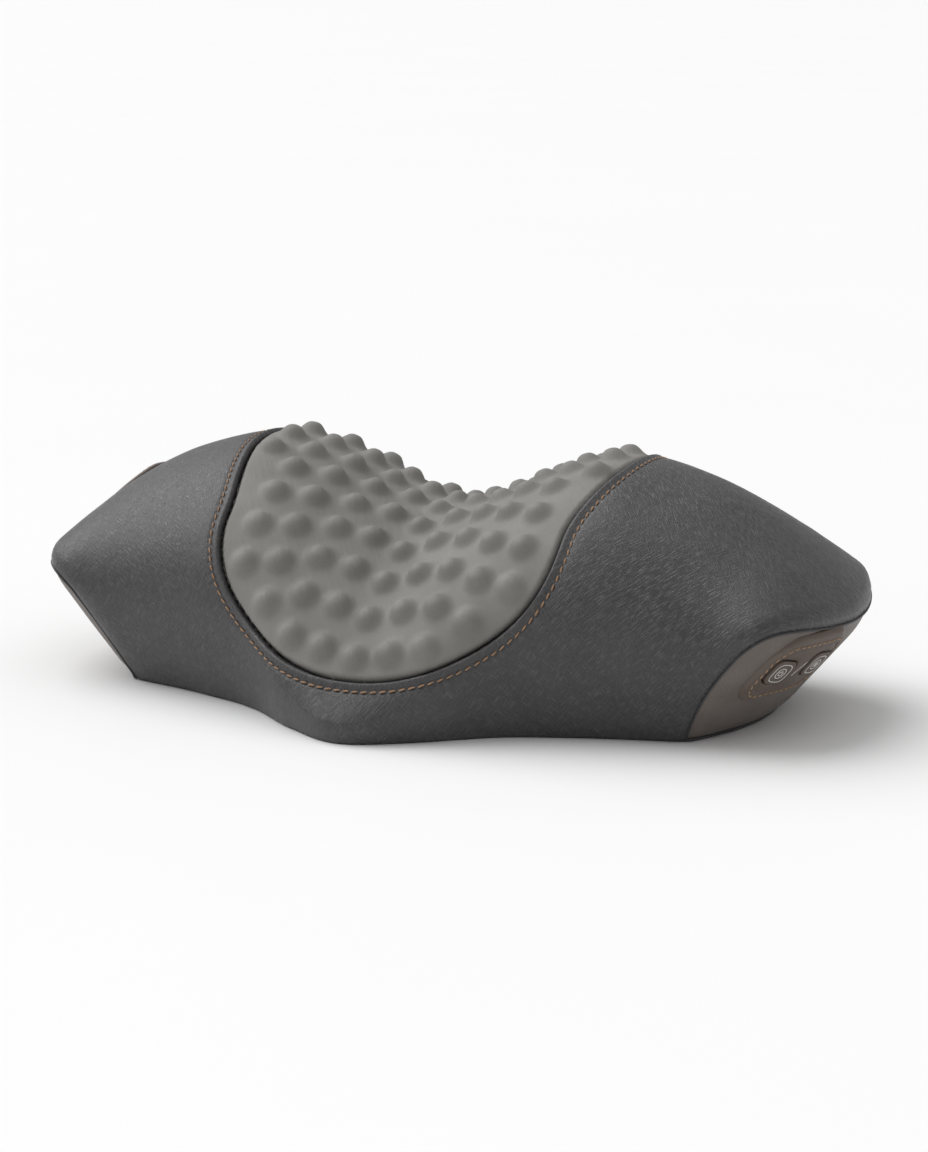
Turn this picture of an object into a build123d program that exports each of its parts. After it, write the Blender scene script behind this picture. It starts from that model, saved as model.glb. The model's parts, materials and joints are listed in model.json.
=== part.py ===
from build123d import *
import math
import os

# Shiatsu neck massager: a saddle-shaped cushion with two spinning kneading heads under a soft panel.
# Millimetres. X runs along the cushion (keypad at +X), -Y is the front, +Z is up, Z = 0 is the table.

# ---------------------------------------------------------------- cushion: driving dimensions
STATION_STEP = 30.0                                   # spacing of the section values along X
HALF_DEPTH = (124, 113, 95, 86, 78, 73, 75, 72)       # half depth in Y at each station
RIDGE_HEIGHT = (84.5, 91.5, 105, 113, 107.5, 95, 73.5, 42)
WAIST_HEIGHT = (9.5, 18, 37, 47, 44, 42, 43, 24)      # height of the widest line
FLOOR_TUCK = (1.5, 5, 10, 14, 15, 16, 15, 15)         # how far the wall draws in at the table
CROWN_WIDTH = (2.0, 2.2, 2.1, 1.95, 1.85, 1.8, 1.8, 1.8)   # exponent across the crown
CROWN_RISE = (1.1, 1.3, 1.65, 1.85, 1.9, 1.9, 1.9, 1.9)    # exponent up the side
HALF_SPAN = 216.0                                     # sections run past both tips
SECTIONS = 38
BELOW_TABLE = 6.0                                     # sections start under the table, then are cut

CAP_FOOT = 156.0                                      # X of the undercut end face at the table, Y = 0
CAP_ANGLE = math.radians(49.5)                        # its slope
CAP_BULGE = 34.0                                      # it falls back this much at Y = CAP_BULGE_AT
CAP_BULGE_AT = 80.0
CAP_THICK = 3.0

COVER_THICK = 2.0
COVER_FLOOR = 0.6
PANEL_THICK = 3.0
PANEL_HALF_WIDTH = 82.0
PANEL_SIDE_HEIGHT = 86.0                              # where the U's straight sides begin
PANEL_FOOT = 26.0                                     # lowest point of the panel's edge
PANEL_CREST = 97.0                                    # half width where it crosses the crests
PANEL_BACK = 46.0                                     # how far it reaches over the ridge
PANEL_BACK_CORNER = 34.0
HEATER_INSET, HEATER_THICK = 3.2, 0.6
FOAM_INSET, WING_FOAM_INSET = 4.0, 7.0
WING_SPLIT = 96.0                                     # X where centre foam and wing foam part

# ---------------------------------------------------------------- base and inner frame
BASE_LOW, BASE_HIGH = 1.5, 4.5
BASE_INSET = 2.4
FOOT_X, FOOT_Y, FOOT_RADIUS, FOOT_HIGH = 92.0, 44.0, 9.0, 2.5
FRAME_FLOOR = 7.0
FRAME_WALL_TOP = 17.5
FRAME_X, FRAME_FRONT, FRAME_BACK = 88.0, -70.0, 86.0
FRAME_INSET, FRAME_WALL = 9.0, 2.5
BASE_SCREWS = [(-60, -30), (60, -30), (-60, 30), (60, 30), (0, -42), (0, 20)]

# ---------------------------------------------------------------- gear train
TEETH = 60
MODULE = 4.0 / 3.0
WHEEL_PITCH = TEETH * MODULE / 2
WORM_PITCH = 6.0
HEAD_X = WHEEL_PITCH + WORM_PITCH                     # the two heads spin about X = +-HEAD_X
ADDENDUM, DEDENDUM = 1.15, 1.5
TOOTH_HALF = 0.85                                     # half thickness at the pitch line
THREAD_HALF = 0.8
TOOTH_SLOPE = math.tan(math.radians(20))
WORM_Z = 29.0
WHEEL_LOW, WHEEL_HIGH = 25.5, 32.5
WORM_HALF_LENGTH = 14.0

BOX_LOW, BOX_FLOOR, BOX_TOP, LID_TOP = 18.0, 21.0, 37.0, 40.0
BOX_RADIUS, BOX_WALL = 46.0, 3.0
TUNNEL_HALF, TUNNEL_FRONT, TUNNEL_BACK = 14.0, -28.0, 36.0
EARS = [(x, y) for x in (-74, -21.5, 21.5, 74) for y in (-39.5, 39.5)]
EAR_RADIUS, SCREW_RADIUS = 5.0, 1.5

SHAFT_RADIUS, RUNNING = 4.0, 0.05
SHAFT_LOW, SHAFT_TOP = 19.0, 50.0
ARM_LOW, ARM_HIGH, COLLAR_TOP = 43.0, 47.0, 50.0
HUB_LOW = 42.2
BALL_REACH = 24.0
BIG_BALL, BIG_BALL_Z = 13.0, 61.0
SMALL_BALL, SMALL_BALL_Z = 10.5, 58.0
SWEEP_RADIUS, SWEEP_TOP = 38.5, 78.0                  # room kept free for a spinning head

MOTOR_RADIUS, MOTOR_FRONT, MOTOR_BACK, MOTOR_WALL = 16.0, TUNNEL_BACK, 80.0, 1.2
ROTOR_RADIUS, MAGNET_RADIUS = 10.5, 11.2
MOTOR_SHAFT = 1.6

CELL_RADIUS, CELL_LENGTH, CELL_Y, CELL_Z = 9.2, 65.0, -57.0, 17.2

# ---------------------------------------------------------------- keypad and charging port
PAD_WIDTH, PAD_HEIGHT, PAD_CORNER = 46.0, 30.0, 11.0
PAD_Y, PAD_MID = -36.0, 35.0                           # the pad sits on the front half of the end face
PAD_THICK = 3.5
KEY_SIZE, KEY_CORNER, KEY_GAP, KEY_ROOT, KEY_PROUD = 14.0, 4.0, 0.4, 2.6, 0.5
KEY_Z, KEY_PITCH = 35.0, 22.0
KEYS = {"power_button": -0.5, "heat_button": 0.5}
PORT_X, PORT_Y = -173.0, 10.0
FLAP_LENGTH, FLAP_WIDTH, FLAP_THICK, FLAP_LIFT = 42.0, 26.0, 2.0, 0.5
STRIP_GAP, STRIP_WIDTH, STRIP_THICK = 3.4, 8.0, 1.8     # room for the flap's thick edge to swing


def along(values, x):
    """Smooth value at X through the station values, the same on both sides of X = 0."""
    place = abs(x) / STATION_STEP
    index = min(int(place), len(values) - 2)
    t = place - index
    here, ahead = values[index], values[index + 1]
    before = values[index - 1] if index else ahead
    beyond = values[index + 2] if index + 2 < len(values) else 2 * ahead - here
    square = 2 * before - 5 * here + 4 * ahead - beyond
    cube = 3 * (here - ahead) + beyond - before
    return here + 0.5 * t * (ahead - before + t * (square + t * cube))


def half_section(x, inset):
    """Points (y, z) of half the cushion's section at X, from under the table up to the ridge."""
    depth = along(HALF_DEPTH, x) - inset
    top = along(RIDGE_HEIGHT, x) - inset
    waist = min(along(WAIST_HEIGHT, x), top - 3)
    tuck = along(FLOOR_TUCK, x)
    wide, rise = along(CROWN_WIDTH, x), along(CROWN_RISE, x)
    points = []
    for step in range(6):
        z = -BELOW_TABLE + (waist + BELOW_TABLE) * step / 6
        points.append((depth - tuck * (1 - z / waist) ** 2, z))
    for step in range(15):
        turn = math.pi / 2 * step / 14
        y = depth * max(math.cos(turn), 0.0) ** (2 / wide)
        points.append((y, waist + (top - waist) * math.sin(turn) ** (2 / rise)))
    return points


def pillow(inset):
    """The whole cushion's outer form, drawn in by inset, before its ends and floor are cut."""
    rows = []
    for index in range(SECTIONS + 1):
        x = HALF_SPAN * (2 * index / SECTIONS - 1)
        half = half_section(x, inset)
        front = [Vector(x, -y, z) for y, z in half]
        rows.append(front + [Vector(x, y, z) for y, z in reversed(half[:-1])])
    skin = Face.make_surface_from_array_of_points(rows, tol=0.02, min_deg=3, max_deg=3)
    ends = [edge for edge in skin.edges() if edge.bounding_box().size.X < 1]
    sides = [edge for edge in skin.edges() if edge.bounding_box().size.X > 1]
    faces = [skin, Face(Wire(sides + [Edge.make_line(end @ 0, end @ 1) for end in ends]))]
    faces += [Face(Wire([end, Edge.make_line(end @ 0, end @ 1)])) for end in ends]
    return Solid(Shell(faces))


def crown(x, y):
    """Height of the cushion's top at X, Y."""
    depth, top = along(HALF_DEPTH, x), along(RIDGE_HEIGHT, x)
    waist = along(WAIST_HEIGHT, x)
    rest = max(1 - (abs(y) / depth) ** along(CROWN_WIDTH, x), 0.0)
    return waist + (top - waist) * rest ** (1 / along(CROWN_RISE, x))


def foot_line(offset):
    """Plan curve of the right end face at the table, moved outwards by offset along its normal."""
    reach = 1.8 * CAP_BULGE_AT
    middle = CAP_FOOT + offset / math.sin(CAP_ANGLE)
    edge = middle - CAP_BULGE * 1.8 ** 2
    return Bezier((edge, -reach), (2 * middle - edge, 0), (edge, reach))


def end_slab(inner, outer):
    """Right-hand layer between two offsets of the undercut end face. No inner offset: all inside it."""
    near = foot_line(outer)
    if inner is None:
        back = Polyline(near @ 0, (-460, (near @ 0).Y), (-460, (near @ 1).Y), near @ 1)
        outline = make_face([near, back])
    else:
        far = foot_line(inner)
        outline = make_face([near, far, Line(near @ 0, far @ 0), Line(near @ 1, far @ 1)])
    slope = Vector(math.cos(CAP_ANGLE), 0, math.sin(CAP_ANGLE))
    return extrude(Pos(-20 / math.tan(CAP_ANGLE), 0, -20) * outline, amount=230, dir=slope)


def block(low, high):
    """Box between two corners."""
    size = [high[i] - low[i] for i in range(3)]
    return Pos(*[(high[i] + low[i]) / 2 for i in range(3)]) * Box(*size)


def rod(x, y, low, high, radius):
    """Upright cylinder between two heights."""
    return Pos(x, y, (low + high) / 2) * Cylinder(radius, high - low)


def rod_y(x, z, front, back, radius):
    """Cylinder along Y."""
    return Pos(x, (front + back) / 2, z) * Rot(90, 0, 0) * Cylinder(radius, back - front)


def panel_limits(shrink=0.0):
    """The massage panel's edge: a U seen from the front, and a round-cornered line behind the ridge."""
    half, low = PANEL_HALF_WIDTH - shrink, PANEL_FOOT + shrink
    drop = PANEL_SIDE_HEIGHT - low
    crest = PANEL_CREST - shrink
    with BuildSketch(Plane.XZ) as front:
        with BuildLine():
            right = Spline((half, PANEL_SIDE_HEIGHT), (half + 5, 103), (crest, 118), (crest + 10, 140),
                           tangents=[(0, 1), (0.3, 1)])
            left = mirror(right, about=Plane.YZ)
            Line(right @ 1, left @ 1)
            EllipticalCenterArc((0, PANEL_SIDE_HEIGHT), half, drop, start_angle=180, arc_size=180)
        make_face()
    across = extrude(front.sketch, amount=170, both=True)
    reach = 2 * (100 + PANEL_BACK - shrink)
    plan = Pos(0, -100) * RectangleRounded(2 * (crest + 6), reach, PANEL_BACK_CORNER)
    return across, extrude(plan, amount=160)


def screw(length, shank, head, thick):
    """Pan-head screw pointing down from Z = 0, with a cross recess."""
    body = rod(0, 0, -length, 0, shank) + rod(0, 0, 0, thick, head)
    body = chamfer(body.edges().sort_by(Axis.Z)[0], 0.4)
    for slot in (Box(head * 1.1, 0.6, thick), Box(0.6, head * 1.1, thick)):
        body -= Pos(0, 0, thick) * slot
    return body


def surface_frame(x, y):
    """Plane on the cushion's top at X, Y with its normal pointing out."""
    step = 0.5
    rise_x = (crown(x + step, y) - crown(x - step, y)) / (2 * step)
    rise_y = (crown(x, y + step) - crown(x, y - step)) / (2 * step)
    return Plane(origin=(x, y, crown(x, y)), x_dir=(1, 0, rise_x), z_dir=(-rise_x, -rise_y, 1))


def key_frame(place):
    """Plane on the right end face for one key, its normal pointing out of the face."""
    y = PAD_Y + place * KEY_PITCH
    x = CAP_FOOT - CAP_BULGE * (y / CAP_BULGE_AT) ** 2 + KEY_Z / math.tan(CAP_ANGLE)
    lean = 2 * CAP_BULGE * y / CAP_BULGE_AT ** 2
    out = Vector(1, lean, -1 / math.tan(CAP_ANGLE)).normalized()
    up = Vector(1, 0, math.tan(CAP_ANGLE)).normalized()
    return Plane(origin=(x, y, KEY_Z), x_dir=up - out * up.dot(out), z_dir=out)


def ring_of(shape, count, start=0.0):
    """Copies of a shape around Z."""
    return [Rot(0, 0, start + 360 * index / count) * shape for index in range(count)]


# ---------------------------------------------------------------- soft outside
def make_bodies():
    """Cushion forms that the soft parts are cut from."""
    table = block((-300, -200, COVER_FLOOR), (300, 200, 200))
    inside = end_slab(None, -CAP_THICK)
    kept = inside & mirror(inside, about=Plane.YZ) & table
    outer = pillow(0)
    return outer, outer & kept


def make_soft_parts(outer, trimmed):
    """Cover, massage panel, end caps, heater mat and foams."""
    parts = {}
    across, plan = panel_limits()
    shell = trimmed - pillow(COVER_THICK)
    parts["wing_cover"] = (shell - across) + ((shell & across) - plan)
    parts["massage_panel"] = (outer - pillow(PANEL_THICK)) & across & plan
    across, plan = panel_limits(12.0)
    heater = pillow(HEATER_INSET) - pillow(HEATER_INSET + HEATER_THICK)
    parts["heater_mat"] = heater & across & plan

    table = block((100, -200, COVER_FLOOR), (300, 200, 200))
    right_cap = outer & end_slab(-CAP_THICK, 0) & table
    parts["right_end_cap"] = right_cap
    parts["left_end_cap"] = mirror(right_cap, about=Plane.YZ)

    core = pillow(FOAM_INSET)
    centre = core & block((-WING_SPLIT, -200, 8), (WING_SPLIT, 200, 200))
    centre -= block((-WING_SPLIT, -71.5, 0), (WING_SPLIT, 88, 42.5))
    centre -= block((-18, 20, 0), (18, 84, 47))
    for side in (-1, 1):
        centre -= rod(side * HEAD_X, 0, 30, SWEEP_TOP, SWEEP_RADIUS)
    parts["centre_foam"] = centre
    wing = pillow(WING_FOAM_INSET) & end_slab(None, -CAP_THICK - 2.5)
    wing &= block((WING_SPLIT + 0.5, -200, 5), (300, 200, 200))
    parts["right_wing_foam"] = wing
    parts["left_wing_foam"] = mirror(wing, about=Plane.YZ)
    return parts


# ---------------------------------------------------------------- keypad on the right end face
def add_keypad(parts):
    """Raised pad, its keys, their circuit boards and switches."""
    outline = RectangleRounded(PAD_HEIGHT, PAD_WIDTH, PAD_CORNER)
    outline = Pos(150, PAD_Y, PAD_MID) * Rot(0, 90, 0) * outline
    pad = end_slab(0, PAD_THICK) & extrude(outline, amount=90, dir=(1, 0, 0))
    cap, foam = parts["right_end_cap"], parts["right_wing_foam"]
    boards, switches = [], []
    room = KEY_SIZE + 2 * KEY_GAP
    for name, place in KEYS.items():
        plane = key_frame(place)
        hole = plane * extrude(RectangleRounded(room, room, KEY_CORNER + KEY_GAP), amount=8, both=True)
        pad -= hole
        cap -= hole
        foam -= plane * (Pos(0, 0, -6) * Box(room + 4, room + 4, 8))
        key_height = KEY_ROOT + PAD_THICK + KEY_PROUD
        key = extrude(RectangleRounded(KEY_SIZE, KEY_SIZE, KEY_CORNER), amount=key_height)
        key = chamfer(key.faces().sort_by(Axis.Z)[-1].edges(), 0.4)
        stem = rod(0, 0, -1.6, 0, 2.0)
        parts[name] = plane * (Pos(0, 0, -KEY_ROOT) * (key + stem))
        board = Box(room + 1, room + 1, 1.2) - rod(-5, -5, -1, 1, 0.8)
        boards.append(plane * (Pos(0, 0, -8.9) * board))
        switch = Box(6, 6, 2.0) + rod(0, 0, 1, 2.0, 1.6)
        switches.append(plane * (Pos(0, 0, -7.3) * switch))
    parts["right_end_cap"], parts["right_wing_foam"] = cap, foam
    parts["control_pad"] = pad
    parts["key_boards"] = Compound(children=boards)
    parts["key_switches"] = Compound(children=switches)


# ---------------------------------------------------------------- charging port under its leather flap
def add_port(parts):
    """Socket in the left wing's top, its bezel, and the leather flap that folds over it."""
    plane = surface_frame(PORT_X, PORT_Y)
    bezel_shape = extrude(RectangleRounded(20, 13, 4), amount=6)
    slot = extrude(RectangleRounded(9.2, 3.4, 1.6), amount=20)
    bezel = Pos(0, 0, -6.2) * bezel_shape - Pos(0, 0, -12) * slot
    shell = extrude(RectangleRounded(9.0, 3.2, 1.5), amount=7.4)
    shell -= Pos(0, 0, 1) * extrude(RectangleRounded(8.4, 2.6, 1.2), amount=8)
    socket = Pos(0, 0, -8.0) * shell + Pos(0, 0, -7.0) * Box(11, 6, 1.6)
    tongue = Pos(0, 0, -5.0) * Box(6.6, 0.7, 4.4)
    parts["charging_socket"] = plane * (socket + tongue)
    parts["port_bezel"] = plane * (bezel - Pos(0, 0, -7.0) * Box(11.2, 6.2, 1.8))
    pocket = plane * extrude(RectangleRounded(20, 13, 4), amount=14, both=True)
    parts["wing_cover"] -= pocket
    parts["left_wing_foam"] -= pocket

    leaf = plane * extrude(RectangleRounded(FLAP_LENGTH, FLAP_WIDTH, 4), amount=9, both=True)
    parts["port_flap"] = (pillow(-FLAP_LIFT - FLAP_THICK) & leaf) - pillow(-FLAP_LIFT)
    strip_middle = FLAP_WIDTH / 2 + STRIP_GAP + STRIP_WIDTH / 2
    strip_shape = Pos(0, strip_middle) * Rectangle(FLAP_LENGTH - 6, STRIP_WIDTH)
    strip_room = plane * extrude(strip_shape, amount=9, both=True)
    parts["flap_anchor_strip"] = (pillow(-STRIP_THICK) & strip_room) - pillow(0)
    return plane


# ---------------------------------------------------------------- base and frame
def add_base(parts):
    """Base plate, rubber feet, the inner frame tray and the screws that join them."""
    within = end_slab(None, -CAP_THICK - 1)
    plate = pillow(BASE_INSET) & block((-300, -200, BASE_LOW), (300, 200, BASE_HIGH))
    plate = plate & within & mirror(within, about=Plane.YZ)
    feet, screws = [], []
    for x in (-FOOT_X, FOOT_X):
        for y in (-FOOT_Y, FOOT_Y):
            plate -= rod(x, y, 0, FOOT_HIGH, FOOT_RADIUS)
            foot = rod(x, y, 0, FOOT_HIGH, FOOT_RADIUS)
            feet.append(chamfer(foot.edges().sort_by(Axis.Z)[0], 0.6))
    frame_room = block((-FRAME_X, FRAME_FRONT, BASE_HIGH), (FRAME_X, FRAME_BACK, FRAME_WALL_TOP))
    outer = pillow(FRAME_INSET) & frame_room
    inner_x = FRAME_X - FRAME_WALL
    inner_front, inner_back = FRAME_FRONT + FRAME_WALL, FRAME_BACK - FRAME_WALL
    hollow = pillow(FRAME_INSET + FRAME_WALL) & block((-inner_x, inner_front, FRAME_FLOOR),
                                                     (inner_x, inner_back, FRAME_WALL_TOP + 1))
    tray = outer - hollow
    for x, y in EARS:
        tray += rod(x, y, FRAME_FLOOR, BOX_LOW, EAR_RADIUS)
        tray -= rod(x, y, BASE_HIGH, BOX_LOW, SCREW_RADIUS)
    cradle = block((-13, 52, FRAME_FLOOR), (13, 64, 18)) - rod_y(0, WORM_Z, 50, 66, MOTOR_RADIUS)
    tray += cradle
    for x, y in BASE_SCREWS:
        tray += rod(x, y, FRAME_FLOOR, FRAME_FLOOR + 5, 4.0)
        hole = rod(x, y, 0, FRAME_FLOOR + 4, SCREW_RADIUS)
        tray -= hole
        plate -= hole
        plate -= rod(x, y, 0, BASE_LOW + 1.2, 3.4)
        base_screw = Pos(x, y, BASE_LOW + 1.2) * Rot(180, 0, 0) * screw(7.5, SCREW_RADIUS, 2.8, 1.0)
        screws.append(base_screw)
    parts["base_plate"] = plate
    parts["rubber_feet"] = Compound(children=feet)
    parts["inner_frame"] = tray
    parts["base_screws"] = Compound(children=screws)


# ---------------------------------------------------------------- gearbox
def box_outline(radius):
    """Plan outline of the gearbox: two round bays joined by the worm's tunnel."""
    shape = Pos(-HEAD_X, 0) * Circle(radius) + Pos(HEAD_X, 0) * Circle(radius)
    wall = BOX_RADIUS - radius
    width, depth = 2 * (TUNNEL_HALF - wall), TUNNEL_BACK - TUNNEL_FRONT - 2 * wall
    return shape + Pos(0, (TUNNEL_BACK + TUNNEL_FRONT) / 2) * Rectangle(width, depth)


def add_gearbox(parts):
    """Lower and upper housings, bushes, and the screws through their ears."""
    lower = Pos(0, 0, BOX_LOW) * extrude(box_outline(BOX_RADIUS), amount=BOX_TOP - BOX_LOW)
    lower -= Pos(0, 0, BOX_FLOOR) * extrude(box_outline(BOX_RADIUS - BOX_WALL), amount=BOX_TOP)
    lid = Pos(0, 0, BOX_TOP) * extrude(box_outline(BOX_RADIUS), amount=LID_TOP - BOX_TOP)
    lower += rod_y(0, WORM_Z, -28, -19, 6.0)
    lower -= rod_y(0, WORM_Z, -26, -19, 4.0)
    lower -= rod_y(0, WORM_Z, TUNNEL_BACK - 4, TUNNEL_BACK + 1, 5.0)
    screws = []
    for x, y in EARS:
        ear = rod(x, y, BOX_LOW, BOX_TOP, EAR_RADIUS)
        lower += ear
        lid += rod(x, y, BOX_TOP, LID_TOP, EAR_RADIUS)
    for side in (-1, 1):
        lower -= Pos(side * HEAD_X, 0, BOX_FLOOR) * extrude(Circle(WHEEL_PITCH + 2.4), amount=20)
        lower += rod(side * HEAD_X, 0, BOX_FLOOR, 24, 8)
        lower -= rod(side * HEAD_X, 0, BOX_LOW + 1, 26, 6)
        lid += rod(side * HEAD_X, 0, LID_TOP - 1, LID_TOP + 1.5, 10)
        lid -= rod(side * HEAD_X, 0, BOX_TOP - 2, LID_TOP + 3, 6)
    for x, y in EARS:
        lower -= rod(x, y, BOX_LOW - 1, BOX_TOP + 1, SCREW_RADIUS)
        lid -= rod(x, y, BOX_TOP - 1, LID_TOP + 1, SCREW_RADIUS)
        screws.append(Pos(x, y, LID_TOP) * screw(32, SCREW_RADIUS, 2.8, 1.9))
    for x in (-8, 8):
        lower -= rod_y(x, WORM_Z, TUNNEL_BACK - 6, TUNNEL_BACK + 2, 1.25)
    parts["gearbox_lower_housing"] = lower
    parts["gearbox_lid"] = lid
    parts["gearbox_screws"] = Compound(children=screws)
    for name, side in (("left", -1), ("right", 1)):
        bore = rod(side * HEAD_X, 0, 0, 60, SHAFT_RADIUS + RUNNING)
        parts[name + "_lower_bush"] = rod(side * HEAD_X, 0, BOX_LOW + 1, 25, 6) - bore
        parts[name + "_upper_bush"] = rod(side * HEAD_X, 0, BOX_TOP - 0.6, LID_TOP + 2, 6) - bore
    bush = rod_y(0, WORM_Z, -26, -20, 4.0)
    parts["worm_bush"] = bush - rod_y(0, WORM_Z, -30, -10, MOTOR_SHAFT + RUNNING)


def wheel_outline():
    """Toothed outline of a worm wheel with a tooth on +X."""
    tip, root = WHEEL_PITCH + ADDENDUM, WHEEL_PITCH - DEDENDUM
    tip_half = (TOOTH_HALF - ADDENDUM * TOOTH_SLOPE) / tip
    root_half = (TOOTH_HALF + DEDENDUM * TOOTH_SLOPE) / root
    points = []
    for tooth in range(TEETH):
        middle = 2 * math.pi * tooth / TEETH
        for radius, turn in ((root, -root_half), (tip, -tip_half), (tip, tip_half), (root, root_half)):
            points.append((radius * math.cos(middle + turn), radius * math.sin(middle + turn)))
    return make_face(Polyline(*points, close=True))


def make_wheel():
    """Worm wheel with hub, lightened web and rim, about the Z axis."""
    wheel = Pos(0, 0, WHEEL_LOW) * extrude(wheel_outline(), amount=WHEEL_HIGH - WHEEL_LOW)
    for low, high in ((WHEEL_LOW, WHEEL_LOW + 2), (WHEEL_HIGH - 2, WHEEL_HIGH)):
        wheel -= rod(0, 0, low, high, 34) - rod(0, 0, low, high, 10)
    for hole in ring_of(Pos(22, 0) * rod(0, 0, WHEEL_LOW, WHEEL_HIGH, 6.5), 6):
        wheel -= hole
    wheel += rod(0, 0, 25.2, 35.2, 8)
    return wheel - rod(0, 0, 20, 40, SHAFT_RADIUS)


def make_worm():
    """Single-start worm along +Z from Z = 0, its thread crest on +X there."""
    root, crest = WORM_PITCH - DEDENDUM, WORM_PITCH + ADDENDUM
    lead = 2 * math.pi * WHEEL_PITCH / TEETH
    crest_turn = 2 * math.pi * (THREAD_HALF - ADDENDUM * TOOTH_SLOPE) / lead
    root_turn = 2 * math.pi * (THREAD_HALF + DEDENDUM * TOOTH_SLOPE) / lead
    flank = []
    for step in range(5):
        radius = crest + (root - crest) * step / 4
        turn = crest_turn + (root_turn - crest_turn) * step / 4
        flank.append((radius * math.cos(turn), radius * math.sin(turn)))
    rise = Spline(*flank)
    fall = mirror(rise, about=Plane.XZ)
    outline = make_face([rise, fall, ThreePointArc(rise @ 0, (crest, 0), fall @ 0),
                         ThreePointArc(rise @ 1, (-root, 0), fall @ 1)])
    length = 2 * WORM_HALF_LENGTH
    return Solid.extrude_linear_with_rotation(outline.faces()[0], (0, 0, 0), (0, 0, length),
                                              360 * length / lead)


def add_gears(parts):
    """Worm, its shaft, the two wheels and the two upright head shafts."""
    half_tooth = 180 / TEETH
    wheel = make_wheel()
    # the worm's crest faces +X at mid length, so the right wheel shows it a gap and the left a gap too
    parts["right_worm_wheel"] = Pos(HEAD_X, 0, 0) * Rot(0, 0, half_tooth) * wheel
    parts["left_worm_wheel"] = Pos(-HEAD_X, 0, 0) * wheel
    lead = 2 * math.pi * WHEEL_PITCH / TEETH
    back_turn = 360 * WORM_HALF_LENGTH / lead
    worm = Rot(0, 0, -back_turn) * make_worm()
    worm = Pos(0, WORM_HALF_LENGTH, WORM_Z) * Rot(90, 0, 0) * worm
    parts["worm"] = worm - rod_y(0, WORM_Z, -20, 20, MOTOR_SHAFT)
    parts["motor_shaft"] = rod_y(0, WORM_Z, -25.5, MOTOR_BACK - 1.5, MOTOR_SHAFT)
    for name, side in (("left", -1), ("right", 1)):
        shaft = rod(side * HEAD_X, 0, SHAFT_LOW, SHAFT_TOP, SHAFT_RADIUS)
        parts[name + "_head_shaft"] = shaft - rod(side * HEAD_X, 0, SHAFT_TOP - 8, SHAFT_TOP, SCREW_RADIUS)


# ---------------------------------------------------------------- spinning heads
def add_heads(parts):
    """Rotor arms, their kneading balls and the screw that holds each arm on its shaft."""
    arm = rod(0, 0, ARM_LOW, ARM_HIGH, 15) + rod(0, 0, HUB_LOW, SHAFT_TOP, 8)
    spoke = block((0, -6, ARM_LOW), (BALL_REACH, 6, ARM_HIGH)) + rod(BALL_REACH, 0, ARM_LOW, ARM_HIGH, 9)
    spoke += rod(BALL_REACH, 0, ARM_HIGH, COLLAR_TOP, 6)
    spoke += rod(BALL_REACH, 0, COLLAR_TOP, COLLAR_TOP + 8, 3.5)
    for copy in ring_of(spoke, 4):
        arm += copy
    arm -= rod(0, 0, 30, 60, SHAFT_RADIUS)
    post = rod(0, 0, COLLAR_TOP - 5, COLLAR_TOP + 8, 3.5)
    balls = []
    for radius, height in ((BIG_BALL, BIG_BALL_Z), (SMALL_BALL, SMALL_BALL_Z)):
        ball = Pos(0, 0, height) * Sphere(radius) - post
        balls.append(ball - block((-20, -20, 40), (20, 20, COLLAR_TOP)))
    for name, side in (("left", -1), ("right", 1)):
        place = Pos(side * HEAD_X, 0, 0)
        parts[name + "_rotor_arm"] = place * arm
        parts[name + "_arm_screw"] = place * Pos(0, 0, SHAFT_TOP) * screw(7.5, SCREW_RADIUS, 5.5, 2.0)
        for index in range(4):
            size = "big" if index % 2 == 0 else "small"
            number = index // 2 + 1
            turned = Rot(0, 0, 90 * index) * Pos(BALL_REACH, 0, 0) * balls[index % 2]
            parts[f"{name}_{size}_ball_{number}"] = place * turned


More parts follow.
